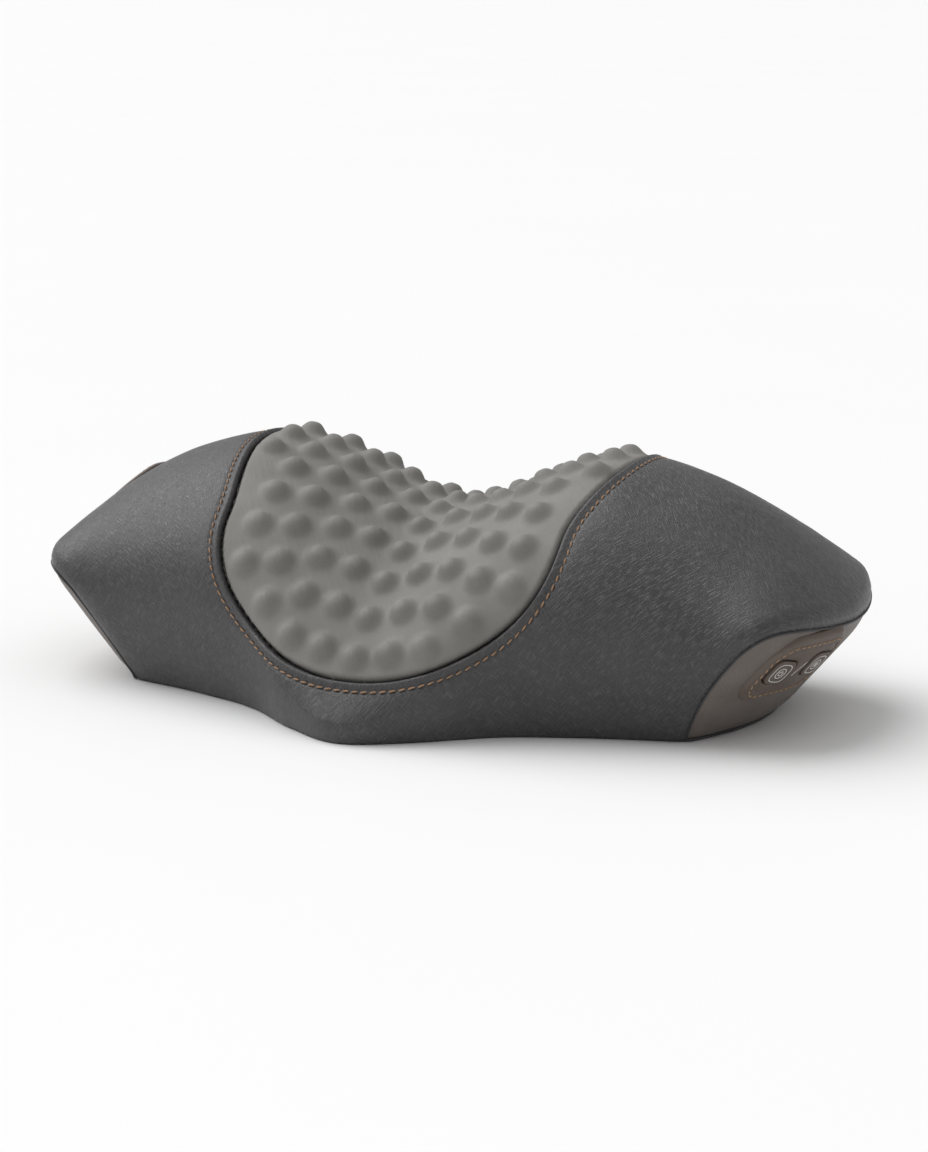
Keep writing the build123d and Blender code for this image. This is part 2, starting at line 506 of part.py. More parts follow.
# ---------------------------------------------------------------- motor
def add_motor(parts):
    """Motor can, magnets, rotor, end bell and mounting screws."""
    can = rod_y(0, WORM_Z, MOTOR_FRONT, MOTOR_BACK - 4, MOTOR_RADIUS)
    can -= rod_y(0, WORM_Z, MOTOR_FRONT + MOTOR_WALL, MOTOR_BACK - 4, MOTOR_RADIUS - MOTOR_WALL)
    can += rod_y(0, WORM_Z, MOTOR_FRONT - 2, MOTOR_FRONT + 3, 4.9)
    can -= rod_y(0, WORM_Z, MOTOR_FRONT - 4, MOTOR_BACK, MOTOR_SHAFT + RUNNING)
    bell = rod_y(0, WORM_Z, MOTOR_BACK - 4, MOTOR_BACK, MOTOR_RADIUS)
    bell -= rod_y(0, WORM_Z, MOTOR_BACK - 5, MOTOR_BACK - 1, MOTOR_SHAFT + RUNNING)
    screws = []
    for x in (-8, 8):
        can -= rod_y(x, WORM_Z, MOTOR_FRONT - 1, MOTOR_FRONT + 3, 1.25)
        screws.append(Pos(x, MOTOR_FRONT - 3, WORM_Z) * Rot(90, 0, 0) * screw(4.0, 1.25, 2.2, 1.2))
    front, back = MOTOR_FRONT + 7, MOTOR_BACK - 8
    ring = rod_y(0, WORM_Z, front, back, MOTOR_RADIUS - MOTOR_WALL)
    ring -= rod_y(0, WORM_Z, front, back, MAGNET_RADIUS)
    magnets = [ring & block((4, front, 0), (20, back, 60)), ring & block((-20, front, 0), (-4, back, 60))]
    rotor = rod_y(0, WORM_Z, front + 1, back - 1, ROTOR_RADIUS)
    for turn in range(0, 360, 120):
        slot = Pos(0, (front + back) / 2, WORM_Z) * Rot(0, turn, 0) * block((-1, -20, 5), (1, 20, 12))
        rotor -= slot
    parts["motor_can"] = can
    parts["motor_end_bell"] = bell
    parts["motor_magnets"] = Compound(children=magnets)
    parts["motor_rotor"] = rotor - rod_y(0, WORM_Z, 20, 80, MOTOR_SHAFT)
    parts["motor_screws"] = Compound(children=screws)


# ---------------------------------------------------------------- battery and control board
def add_electrics(parts):
    """Two cells in their cradle, and the control board with its main components."""
    middle = CELL_LENGTH / 2 + 4.0
    cradle = block((-73, -67, FRAME_FLOOR), (73, -47, 13))
    cradle += block((-73, -67, FRAME_FLOOR), (-71, -47, 22)) + block((71, -67, FRAME_FLOOR), (73, -47, 22))
    for name, side in (("left", -1), ("right", 1)):
        cell = Pos(side * middle, CELL_Y, CELL_Z) * Rot(0, 90, 0) * Cylinder(CELL_RADIUS, CELL_LENGTH)
        cradle -= cell
        tip = side * (middle + CELL_LENGTH / 2 + 0.5)
        cell += Pos(tip, CELL_Y, CELL_Z) * Rot(0, 90, 0) * Cylinder(2.8, 1.0)
        parts[name + "_battery_cell"] = cell
    parts["battery_cradle"] = cradle
    board = block((26, 49, 14), (78, 67, 15.6))
    posts = [rod(x, y, FRAME_FLOOR, 14, 3) for x in (30, 74) for y in (53, 63)]
    for post in posts:
        parts["inner_frame"] += post
    screws = []
    for x in (30, 74):
        for y in (53, 63):
            hole = rod(x, y, 9, 16, 1.25)
            board -= hole
            parts["inner_frame"] -= hole
            screws.append(Pos(x, y, 15.6) * screw(6.0, 1.25, 2.2, 1.2))
    parts["control_board"] = board
    parts["board_screws"] = Compound(children=screws)
    chip = block((46, 54, 15.6), (54, 62, 16.8))
    capacitor = rod(66, 58, 15.6, 26, 4)
    connector = block((35, 54, 15.6), (41, 62, 21)) - block((36, 55, 17.5), (40, 61, 22))
    parts["board_components"] = Compound(children=[chip, capacitor, connector])


def main():
    """Build every part and write one STEP for each."""
    outer, trimmed = make_bodies()
    parts = make_soft_parts(outer, trimmed)
    add_keypad(parts)
    add_port(parts)
    add_base(parts)
    add_gearbox(parts)
    add_gears(parts)
    add_heads(parts)
    add_motor(parts)
    add_electrics(parts)
    os.makedirs("parts", exist_ok=True)
    for name, shape in parts.items():
        export_step(shape, f"parts/{name}.step")


main()
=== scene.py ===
import json
import math

import bpy
import numpy as np
from mathutils import Matrix, Vector, kdtree, noise


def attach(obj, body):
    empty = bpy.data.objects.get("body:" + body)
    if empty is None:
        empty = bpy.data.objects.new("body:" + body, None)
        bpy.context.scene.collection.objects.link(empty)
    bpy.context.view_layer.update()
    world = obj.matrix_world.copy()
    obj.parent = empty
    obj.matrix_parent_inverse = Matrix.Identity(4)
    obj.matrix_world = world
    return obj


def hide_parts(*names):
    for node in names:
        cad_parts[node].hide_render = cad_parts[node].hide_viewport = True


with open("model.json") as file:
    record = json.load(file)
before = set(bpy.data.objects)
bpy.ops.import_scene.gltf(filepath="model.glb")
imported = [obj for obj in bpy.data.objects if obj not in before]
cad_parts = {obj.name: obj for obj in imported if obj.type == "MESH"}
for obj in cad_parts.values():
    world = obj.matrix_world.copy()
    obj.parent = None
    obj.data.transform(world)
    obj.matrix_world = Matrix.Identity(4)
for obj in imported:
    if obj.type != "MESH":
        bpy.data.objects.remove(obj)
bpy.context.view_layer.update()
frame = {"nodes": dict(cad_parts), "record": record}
bpy.ops.object.select_all(action="DESELECT")

MM = 0.001

# ---------------------------------------------------------------- the cushion's form, in millimetres
STATION_STEP = 30.0
HALF_DEPTH = (124, 113, 95, 86, 78, 73, 75, 72)
RIDGE_HEIGHT = (84.5, 91.5, 105, 113, 107.5, 95, 73.5, 42)
WAIST_HEIGHT = (9.5, 18, 37, 47, 44, 42, 43, 24)
FLOOR_TUCK = (1.5, 5, 10, 14, 15, 16, 15, 15)
CROWN_WIDTH = (2.0, 2.2, 2.1, 1.95, 1.85, 1.8, 1.8, 1.8)
CROWN_RISE = (1.1, 1.3, 1.65, 1.85, 1.9, 1.9, 1.9, 1.9)
COVER_FLOOR = 0.6

CAP_FOOT, CAP_BULGE, CAP_BULGE_AT = 156.0, 34.0, 80.0
CAP_SLOPE = math.tan(math.radians(49.5))

PANEL_HALF_WIDTH, PANEL_SIDE_HEIGHT, PANEL_FOOT = 82.0, 86.0, 26.0
PANEL_FLARE = (0.0203, -0.000177)
PANEL_PLAN_HALF, PANEL_BACK, PANEL_BACK_CORNER = 103.0, 46.0, 34.0

PAD_HALF_WIDTH, PAD_HALF_HEIGHT, PAD_CORNER = 23.0, 15.0, 11.0
PAD_Y, PAD_MIDDLE = -36.0, 35.0
KEY_HALF, KEY_CORNER, KEY_HEIGHT, KEY_PITCH, KEY_TOP = 7.0, 4.0, 35.0, 22.0, 4.0
KEYS = {"power": -0.5, "heat": 0.5}

PORT_X, PORT_Y = -173.0, 10.0
FLAP_LENGTH, FLAP_WIDTH, FLAP_CORNER = 42.0, 26.0, 4.0
STRIP_GAP, STRIP_WIDTH = 3.4, 8.0

PROFILE_ROWS, PROFILE_STEPS = 217, 320
CROWN_SAMPLES, WALL_SAMPLES = 500, 80
LEAST_CROWN = 3.0                              # the ridge is always this much over the widest height
BOWL_SCALE = 70.0                              # turns the panel's oval measure into about millimetres
BEYOND = 99.0                                  # a distance that counts as far away
CUSHION_HEART = Vector((0, 0, 0.04))           # a point well inside the cushion, in metres


def along(values, x):
    """Smooth values at X through the station values, the same on both sides of X = 0."""
    table = np.array(values, float)
    place = np.abs(x) / STATION_STEP
    index = np.minimum(place.astype(int), len(values) - 2)
    t = place - index
    here, ahead = table[index], table[index + 1]
    before = np.where(index > 0, table[np.maximum(index - 1, 0)], ahead)
    last = index + 2 >= len(values)
    beyond = np.where(last, 2 * ahead - here, table[np.minimum(index + 2, len(values) - 1)])
    square = 2 * before - 5 * here + 4 * ahead - beyond
    cube = 3 * (here - ahead) + beyond - before
    return here + 0.5 * t * (ahead - before + t * (square + t * cube))


def profile_tables():
    """Half sections from ridge to floor at every millimetre of X, in even steps along the skin."""
    rows_y, rows_z, lengths = [], [], []
    for x in np.arange(PROFILE_ROWS, dtype=float):
        depth, top = along(HALF_DEPTH, x), along(RIDGE_HEIGHT, x)
        waist = min(along(WAIST_HEIGHT, x), top - LEAST_CROWN)
        tuck = along(FLOOR_TUCK, x)
        turn = np.linspace(math.pi / 2, 0, CROWN_SAMPLES)
        low_z = np.linspace(waist, COVER_FLOOR, WALL_SAMPLES)[1:]
        y = depth * np.cos(turn).clip(0) ** (2 / along(CROWN_WIDTH, x))
        z = waist + (top - waist) * np.sin(turn) ** (2 / along(CROWN_RISE, x))
        y = np.append(y, depth - tuck * (1 - low_z / waist) ** 2)
        z = np.append(z, low_z)
        run = np.append(0, np.cumsum(np.hypot(np.diff(y), np.diff(z))))
        even = np.linspace(0, run[-1], PROFILE_STEPS)
        rows_y.append(np.interp(even, run, y))
        rows_z.append(np.interp(even, run, z))
        lengths.append(run[-1])
    return np.array(rows_y), np.array(rows_z), np.array(lengths)


TABLE_Y, TABLE_Z, SKIN_LENGTH = profile_tables()


def skin(x, share):
    """Points on the cushion at X, share of the way from the ridge (0) to the floor (-1 front, +1 back)."""
    across = np.minimum(np.abs(x), PROFILE_ROWS - 1.001)
    down = np.minimum(np.abs(share), 1.0) * (PROFILE_STEPS - 1.001)
    i, j = across.astype(int), down.astype(int)
    s, t = across - i, down - j
    found = []
    for table in (TABLE_Y, TABLE_Z):
        near = table[i, j] * (1 - t) + table[i, j + 1] * t
        far = table[i + 1, j] * (1 - t) + table[i + 1, j + 1] * t
        found.append(near * (1 - s) + far * s)
    return np.stack([x, np.sign(share) * found[0], found[1]], -1)


def skin_length(x):
    """Length of the half section at X."""
    return np.interp(np.abs(x), np.arange(PROFILE_ROWS), SKIN_LENGTH)


def skin_normal(x, share):
    """Outward normals of the cushion."""
    step_x, step_share = 1.5, 0.012
    low = np.clip(share - step_share, -1, 1)
    high = np.clip(share + step_share, -1, 1)
    run = skin(x + step_x, share) - skin(x - step_x, share)
    rise = skin(x, high) - skin(x, low)
    normal = np.cross(run, rise)
    return normal / np.linalg.norm(normal, axis=-1, keepdims=True)


def panel_room(points):
    """How far a point is inside the massage panel's edge, about millimetres; negative outside."""
    x, y, z = np.abs(points[..., 0]), points[..., 1], points[..., 2]
    drop = PANEL_SIDE_HEIGHT - z
    bowl = 1 - np.hypot(x / PANEL_HALF_WIDTH, drop / (PANEL_SIDE_HEIGHT - PANEL_FOOT))
    rise = np.maximum(-drop, 0)
    flare = PANEL_HALF_WIDTH + PANEL_FLARE[0] * rise ** 2 + PANEL_FLARE[1] * rise ** 3 - x
    front = np.where(drop > 0, bowl * BOWL_SCALE, flare)
    side = x - (PANEL_PLAN_HALF - PANEL_BACK_CORNER)
    back = y - (PANEL_BACK - PANEL_BACK_CORNER)
    corner = np.hypot(np.maximum(side, 0), np.maximum(back, 0)) - PANEL_BACK_CORNER
    return np.minimum(front, -(corner + np.minimum(np.maximum(side, back), 0)))


def end_room(points):
    """Positive above the undercut end faces."""
    x, y, z = np.abs(points[..., 0]), points[..., 1], points[..., 2]
    return z - (x - CAP_FOOT + CAP_BULGE * (y / CAP_BULGE_AT) ** 2) * CAP_SLOPE


def end_face(y, z, offset):
    """Points on the right end face, moved outwards by offset."""
    x = CAP_FOOT - CAP_BULGE * (y / CAP_BULGE_AT) ** 2 + z / CAP_SLOPE
    one = np.ones_like(y)
    out = np.stack([one, 2 * CAP_BULGE * y / CAP_BULGE_AT ** 2, -one / CAP_SLOPE], -1)
    out /= np.linalg.norm(out, axis=-1, keepdims=True)
    return np.stack([x, y, z], -1) + out * np.asarray(offset)[..., None]


SEAM_ROUND, SEAM_REACH = 4.2, 15.0


def seam_drop(room):
    """How far the cover is drawn in beside an end seam, at a height above the end face."""
    close = np.clip(1 - room / SEAM_REACH, 0, 1)
    return SEAM_ROUND * close ** 2


# ---------------------------------------------------------------- edges of the panel and the cover
AROUND = 640
SPREAD = 140.0                                 # millimetres that a share of 1 counts for
MIDDLE = -22.0                                 # the panel's middle, in the same measure


def rim(room):
    """Where rays from the panel's middle leave a region of the skin, as (X, share) pairs."""
    turn = 2 * math.pi * np.arange(AROUND) / AROUND
    ray_x, ray_v = np.cos(turn), np.sin(turn)
    reach = np.linspace(0, 340, 681)
    inside = room(np.outer(ray_x, reach), (MIDDLE + np.outer(ray_v, reach)) / SPREAD) > 0
    first = np.argmin(inside, axis=1)
    low, high = reach[first - 1], reach[first]
    for _ in range(24):
        half = (low + high) / 2
        within = room(ray_x * half, (MIDDLE + ray_v * half) / SPREAD) > 0
        low, high = np.where(within, half, low), np.where(within, high, half)
    return ray_x * low, (MIDDLE + ray_v * low) / SPREAD


def in_panel(x, share):
    """Room inside the panel's edge at places on the skin."""
    return panel_room(skin(x, share))


def in_cover(x, share):
    """Room inside the cover's outer edge: the end seams and the floor."""
    return np.minimum(end_room(skin(x, share)), (1 - np.abs(share)) * 100)


EDGE_X, EDGE_SHARE = rim(in_panel)
OUTER_X, OUTER_SHARE = rim(in_cover)


def closed_run(points):
    """Distances along a closed line of points, and its whole length."""
    steps = np.linalg.norm(np.roll(points, -1, 0) - points, axis=1)
    return np.append(0, np.cumsum(steps))


def resample(points, spacing):
    """Even points along a closed line."""
    run = closed_run(points)
    ring = np.vstack([points, points[:1]])
    count = max(int(round(run[-1] / spacing)), 8)
    even = np.linspace(0, run[-1], count, endpoint=False)
    return np.stack([np.interp(even, run, ring[:, k]) for k in range(points.shape[1])], -1)


def tree_of(points):
    """Search tree over points."""
    tree = kdtree.KDTree(len(points))
    for index, point in enumerate(points):
        tree.insert(point, index)
    tree.balance()
    return tree


def far_from(tree, points):
    """Distance of each point from a search tree's nearest."""
    flat = points.reshape(-1, 3)
    return np.array([tree.find(p)[2] for p in flat]).reshape(points.shape[:-1])


PANEL_EDGE = resample(skin(EDGE_X, EDGE_SHARE), 0.5)
EDGE_TREE = tree_of(PANEL_EDGE)


# ---------------------------------------------------------------- making meshes
def patch(name, columns, rows, place):
    """Closed ring of rows: a grid whose two side edges meet, laid by place(turn, depth)."""
    bpy.ops.mesh.primitive_grid_add(x_subdivisions=columns, y_subdivisions=rows, size=2)
    piece = bpy.context.object
    piece.name = piece.data.name = name
    flat = np.empty(len(piece.data.vertices) * 3)
    piece.data.vertices.foreach_get("co", flat)
    turn, depth = (flat.reshape(-1, 3)[:, :2] + 1).T / 2
    column = np.rint(turn * columns).astype(int) % columns
    row = np.rint(depth * rows).astype(int)
    points, chart = place(column, row)
    piece.data.vertices.foreach_set("co", (points * MM).ravel())
    corners = np.empty(len(piece.data.loops), int)
    piece.data.loops.foreach_get("vertex_index", corners)
    piece.data.uv_layers[0].name = "cloth"
    piece.data.uv_layers[0].data.foreach_set("uv", (chart[corners] * MM).ravel())
    bpy.ops.object.mode_set(mode="EDIT")
    bpy.ops.mesh.select_all(action="SELECT")
    bpy.ops.mesh.remove_doubles(threshold=1e-6)
    bpy.ops.object.mode_set(mode="OBJECT")
    return piece


def select(piece):
    """Makes one piece the only selected and active one."""
    bpy.ops.object.select_all(action="DESELECT")
    piece.select_set(True)
    bpy.context.view_layer.objects.active = piece


def turn_outward(piece):
    """Recalculates a piece's normals so that its faces point outwards."""
    select(piece)
    bpy.ops.object.mode_set(mode="EDIT")
    bpy.ops.mesh.select_all(action="SELECT")
    bpy.ops.mesh.normals_make_consistent(inside=False)
    bpy.ops.object.mode_set(mode="OBJECT")


def flip(piece):
    """Turns all faces round."""
    select(piece)
    bpy.ops.object.mode_set(mode="EDIT")
    bpy.ops.mesh.select_all(action="SELECT")
    bpy.ops.mesh.flip_normals()
    bpy.ops.object.mode_set(mode="OBJECT")


def thicken(piece, wall):
    """Gives a skin its wall, inwards."""
    select(piece)
    solid = piece.modifiers.new("wall", "SOLIDIFY")
    solid.thickness = wall * MM
    solid.offset = -1
    bpy.ops.object.modifier_apply(modifier=solid.name)
    bpy.ops.object.shade_smooth()


def belongs(piece, body, slot, *nodes):
    """Says what a piece rides on and which nodes it stands for, which it hides; slot is not used."""
    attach(piece, body)
    if nodes:
        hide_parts(*nodes)


def wobble(points, size, amount, seed):
    """Slow unevenness of soft goods."""
    shift = Vector((seed * 17.3, seed * 5.1, seed * 9.7))
    return np.array([noise.noise(Vector(p) / size + shift) for p in points]) * amount


def bell(distance, centre, width):
    """Smooth bump of height 1."""
    return np.exp(-((distance - centre) / width) ** 2)


def copies(name, pattern, places):
    """One mesh of a pattern piece repeated at each matrix, in metres; the pattern is removed."""
    flat = np.empty(len(pattern.data.vertices) * 3)
    pattern.data.vertices.foreach_get("co", flat)
    shape = np.column_stack([flat.reshape(-1, 3), np.ones(len(flat) // 3)])
    faces = [list(face.vertices) for face in pattern.data.polygons]
    points, polygons = [], []
    for place in places:
        start = len(points) * len(shape)
        points.append((shape @ np.array(place).T)[:, :3])
        polygons += [[index + start for index in face] for face in faces]
    mesh = bpy.data.meshes.new(name)
    mesh.from_pydata(np.vstack(points).tolist(), [], polygons)
    mesh.update()
    piece = bpy.data.objects.new(name, mesh)
    bpy.context.collection.objects.link(piece)
    bpy.data.objects.remove(pattern)
    select(piece)
    bpy.ops.object.shade_smooth()
    return piece


STITCH_SLANT = math.radians(7)


def stitch_pattern(length, radius):
    """One stitch: a plump thread end to end along X, sunk at both ends."""
    bpy.ops.mesh.primitive_uv_sphere_add(segments=10, ring_count=8, radius=1)
    stitch = bpy.context.object
    for vertex in stitch.data.vertices:
        x, y, z = vertex.co
        span = math.copysign(abs(z) ** 0.8, z)
        twist = 0.35 * span
        vertex.co = (span * length / 2, (x + twist * 0.4) * radius, y * radius - 0.5 * radius * span ** 4)
        vertex.co *= MM
    return stitch


def stitch_row(name, line, normals, pitch, length, radius, lift):
    """Stitches along a closed line of points, lying on the given normals."""
    ring = np.vstack([line, line[:1]])
    up = np.vstack([normals, normals[:1]])
    run = np.append(0, np.cumsum(np.linalg.norm(np.diff(ring, axis=0), axis=1)))
    count = int(run[-1] / pitch)
    middles = (np.arange(count) + 0.5) * run[-1] / count
    places = []
    for middle in middles:
        ends = [[np.interp(middle + way * length / 2, run, ring[:, k]) for k in range(3)] for way in (-1, 1)]
        normal = Vector([np.interp(middle, run, up[:, k]) for k in range(3)]).normalized()
        tangent = (Vector(ends[1]) - Vector(ends[0])).normalized()
        tangent = Matrix.Rotation(STITCH_SLANT, 3, normal) @ tangent
        side = normal.cross(tangent).normalized()
        tangent = side.cross(normal)
        centre = (Vector(ends[0]) + Vector(ends[1])) / 2 + normal * lift
        matrix = Matrix((tangent, side, normal)).transposed().to_4x4()
        matrix.translation = centre * MM
        places.append(matrix)
    return copies(name, stitch_pattern(length, radius), places)


# ---------------------------------------------------------------- wing cover
COVER_ROWS, COVER_DENSE, DENSE_STEP = 66, 18, 0.6
COVER_WALL = 1.6
LIP_AT, LIP_HIGH, LIP_WIDE = 1.9, 0.9, 1.25
GAP_DEEP, GAP_WIDE = 3.2, 1.1
STITCH_AT, CHANNEL_DEEP = 5.2, 0.55
SEAM_SUNK = 0.5


def nose(points):
    """How much an end seam is rounded: fully round the tip, hardly at the table."""
    return np.clip(points[:, 2] / 45, 0, 1) ** 0.7


def cover_place(column, row):
    """Where the cover's grid lies: dense rows by the panel's edge, even rows on to the outer edge."""
    edge = np.stack([EDGE_X, EDGE_SHARE * SPREAD], -1)[column]
    outer = np.stack([OUTER_X, OUTER_SHARE * SPREAD], -1)[column]
    span = np.linalg.norm(outer - edge, axis=1)
    close = DENSE_STEP * COVER_DENSE
    rest = close + (span - close) * (row - COVER_DENSE) / (COVER_ROWS - COVER_DENSE)
    reach = np.where(row < COVER_DENSE, row * DENSE_STEP, rest)
    at = edge + (outer - edge) * (reach / span)[:, None]
    x, share = at[:, 0], at[:, 1] / SPREAD
    points, normals = skin(x, share), skin_normal(x, share)
    away = np.full(len(x), BEYOND)
    near = row < COVER_DENSE + 6
    away[near] = far_from(EDGE_TREE, points[near])
    height = LIP_HIGH * bell(away, LIP_AT, LIP_WIDE) - GAP_DEEP * np.clip(1 - away / GAP_WIDE, 0, 1) ** 2
    height -= CHANNEL_DEEP * bell(away, STITCH_AT, 1.0)
    height += wobble(points, 26, 0.35, 1) + wobble(points, 9, 0.12, 2)
    seam = end_room(points)
    height -= SEAM_SUNK * bell(seam, 0, 1.6) + seam_drop(seam) * nose(points)
    points = points + normals * height[:, None]
    points[:, 2] = np.maximum(points[:, 2], COVER_FLOOR)
    return points, np.stack([x, share * skin_length(x)], -1)


cover = patch("wing_cover_leather", AROUND, COVER_ROWS, cover_place)
turn_outward(cover)
some_face = cover.data.polygons[len(cover.data.polygons) // 2]
if some_face.normal.dot(some_face.center - CUSHION_HEART) < 0:
    flip(cover)
thicken(cover, COVER_WALL)
belongs(cover, "root", "charcoal_leather", "wing_cover")


def offset_line(distance):
    """Points on the cover at a distance outside the panel's edge, with their normals."""
    edge = np.stack([EDGE_X, EDGE_SHARE * SPREAD], -1)
    outward = np.stack([OUTER_X, OUTER_SHARE * SPREAD], -1) - edge
    outward /= np.linalg.norm(outward, axis=1, keepdims=True)
    low, high = np.zeros(AROUND), np.full(AROUND, 22.0)
    for _ in range(14):
        half = (low + high) / 2
        at = edge + outward * half[:, None]
        away = far_from(EDGE_TREE, skin(at[:, 0], at[:, 1] / SPREAD))
        low, high = np.where(away < distance, half, low), np.where(away < distance, high, half)
    return skin(at[:, 0], at[:, 1] / SPREAD), skin_normal(at[:, 0], at[:, 1] / SPREAD)


line, line_normals = offset_line(STITCH_AT)
panel_stitching = stitch_row("panel_stitching", line, line_normals, 4.3, 3.3, 0.45, 0.0)
belongs(panel_stitching, "root", "taupe_leather")


# ---------------------------------------------------------------- massage panel with its bumps
PANEL_CELL, PANEL_WALL = 1.05, 2.0
PANEL_GRID_HALF, PANEL_GRID_FRONT, PANEL_GRID_BACK = 99.0, -150.0, 64.0
PANEL_PUFF, PANEL_EDGE_SUNK = 0.7, 3.0
BUMP_PITCH_X, BUMP_HIGH, BUMP_RADIUS, BUMP_FLATNESS = 16.3, 5.0, 5.6, 3.2
BUMP_EDGE_ROOM = 8.5
BUMP_COLUMNS = ((-119, 21), (-118, 22), (-118, 20.5), (-109, 21), (-95, 20.5), (-66, 21))


def bump_centres():
    """Middles of the bumps on the skin, column by column."""
    centres = []
    for column in range(-5, 6):
        first, pitch = BUMP_COLUMNS[abs(column)]
        x = column * BUMP_PITCH_X
        for step in range(12):
            share = (first + step * pitch) / skin_length(x)
            point = skin(np.array([x]), np.array([share]))[0]
            if far_from(EDGE_TREE, point[None])[0] > BUMP_EDGE_ROOM and panel_room(point[None])[0] > 0:
                centres.append(point)
    return centres


def make_panel():
    """Soft skin over the heads: grid on the form, cut at its edge, bumps pushed out, edge turned down."""
    half, front, back = PANEL_GRID_HALF, PANEL_GRID_FRONT, PANEL_GRID_BACK
    columns, rows = int(2 * half / PANEL_CELL), int((back - front) / PANEL_CELL)
    bpy.ops.mesh.primitive_grid_add(x_subdivisions=columns, y_subdivisions=rows, size=2)
    piece = bpy.context.object
    piece.name = piece.data.name = "massage_panel_skin"
    flat = np.empty(len(piece.data.vertices) * 3)
    piece.data.vertices.foreach_get("co", flat)
    flat = flat.reshape(-1, 3)
    x = flat[:, 0] * half
    arc = front + (flat[:, 1] + 1) / 2 * (back - front)
    share = arc / skin_length(x)
    points, normals = skin(x, share), skin_normal(x, share)
    outside = (panel_room(points) < 0.25) | (np.abs(share) > 0.99)
    piece.data.vertices.foreach_set("co", (points * MM).ravel())
    corners = np.empty(len(piece.data.loops), int)
    piece.data.loops.foreach_get("vertex_index", corners)
    chart = np.stack([x, arc], -1)
    piece.data.uv_layers[0].name = "cloth"
    piece.data.uv_layers[0].data.foreach_set("uv", (chart[corners] * MM).ravel())
    bpy.ops.object.mode_set(mode="EDIT")
    bpy.ops.mesh.select_all(action="DESELECT")
    bpy.ops.object.mode_set(mode="OBJECT")
    piece.data.vertices.foreach_set("select", outside)
    bpy.ops.object.mode_set(mode="EDIT")
    bpy.ops.mesh.select_mode(type="VERT")
    bpy.ops.mesh.delete(type="VERT")
    bpy.ops.mesh.select_all(action="DESELECT")
    bpy.ops.mesh.select_non_manifold()
    bpy.ops.object.mode_set(mode="OBJECT")
    kept = np.nonzero(~outside)[0]
    count = len(piece.data.vertices)
    flat = np.empty(count * 3)
    piece.data.vertices.foreach_get("co", flat)
    points = flat.reshape(-1, 3) / MM
    normals = normals[kept]
    border = np.empty(count, bool)
    piece.data.vertices.foreach_get("select", border)
    for index in np.nonzero(border)[0]:
        points[index] = EDGE_TREE.find(points[index])[0]
    inside = far_from(EDGE_TREE, points)
    height = PANEL_PUFF * (1 - bell(inside, 0, 9)) - PANEL_EDGE_SUNK * np.clip(1 - inside / 2.6, 0, 1) ** 2
    height += wobble(points, 14, 0.25, 5)
    for centre in bump_centres():
        close = np.linalg.norm(points - centre, axis=1)
        height += BUMP_HIGH * np.exp(-(close / BUMP_RADIUS) ** BUMP_FLATNESS)
    points = points + normals * height[:, None]
    piece.data.vertices.foreach_set("co", (points * MM).ravel())
    piece.data.update()
    return piece


panel = make_panel()
thicken(panel, PANEL_WALL)
belongs(panel, "root", "grey_panel", "massage_panel")


# ---------------------------------------------------------------- end caps
SEAM_STEPS, FOOT_STEPS, CAP_ROWS = 170, 90, 34
CAP_WALL, CAP_PUFF, CAP_SUNK = 2.0, 1.5, 0.9
PIPING_RADIUS = 0.5


def cap_outline():
    """The end face's outline as (Y, Z): the seam with the cover, then the line along the floor."""
    share = np.linspace(-1, 1, SEAM_STEPS)
    low, high = np.full(SEAM_STEPS, 100.0), np.full(SEAM_STEPS, 216.0)
    for _ in range(26):
        half = (low + high) / 2
        kept = end_room(skin(half, share)) > 0
        low, high = np.where(kept, half, low), np.where(kept, high, half)
    seam = skin(low, share)
    drawn = seam - skin_normal(low, share) * (SEAM_SUNK + seam_drop(0.0) * nose(seam))[:, None]
    drawn[:, 2] = np.maximum(drawn[:, 2], COVER_FLOOR)
    foot = np.linspace(drawn[-1], drawn[0], FOOT_STEPS + 2)[1:-1]
    foot[:, 0] = end_face(foot[:, 1], foot[:, 2], np.zeros(FOOT_STEPS))[:, 0]
    return np.vstack([drawn, foot])


CAP_OUTLINE = resample(cap_outline(), 1.0)
CAP_MIDDLE = np.array([0.0, 26.0])
CAP_EDGE_TREE = tree_of(CAP_OUTLINE)


def cap_place(column, row):
    """Puffed leather over the end face, sunk at its seam."""
    outline = CAP_OUTLINE[column]
    depth = (row / CAP_ROWS) ** 1.35
    at = outline[:, 1:] + (CAP_MIDDLE - outline[:, 1:]) * depth[:, None]
    flat = end_face(at[:, 0], at[:, 1], np.zeros(len(row)))
    rim_x = end_face(outline[:, 1], outline[:, 2], np.zeros(len(row)))[:, 0]
    drawn = (outline[:, 0] - rim_x) * bell(np.linalg.norm(at - outline[:, 1:], axis=1), 0, 6)
    inwards = drawn[:, None] * np.array([1, 0, 0])
    inside = far_from(CAP_EDGE_TREE, flat + inwards)
    puff = CAP_PUFF * (1 - np.exp(-(inside / 7) ** 2)) - CAP_SUNK * bell(inside, 0, 0.9)
    puff += wobble(flat, 22, 0.3, 7) * (1 - np.exp(-(inside / 5) ** 2))
    return end_face(at[:, 0], at[:, 1], puff) + inwards, at


def mirrored(points):
    """The same points on the left."""
    return points * np.array([-1, 1, 1])


def left_cap_place(column, row):
    """The left cap is the right one's mirror image."""
    points, chart = cap_place(column, row)
    return mirrored(points), chart


right_cap = patch("right_end_cap_leather", len(CAP_OUTLINE), CAP_ROWS, cap_place)
left_cap = patch("left_end_cap_leather", len(CAP_OUTLINE), CAP_ROWS, left_cap_place)


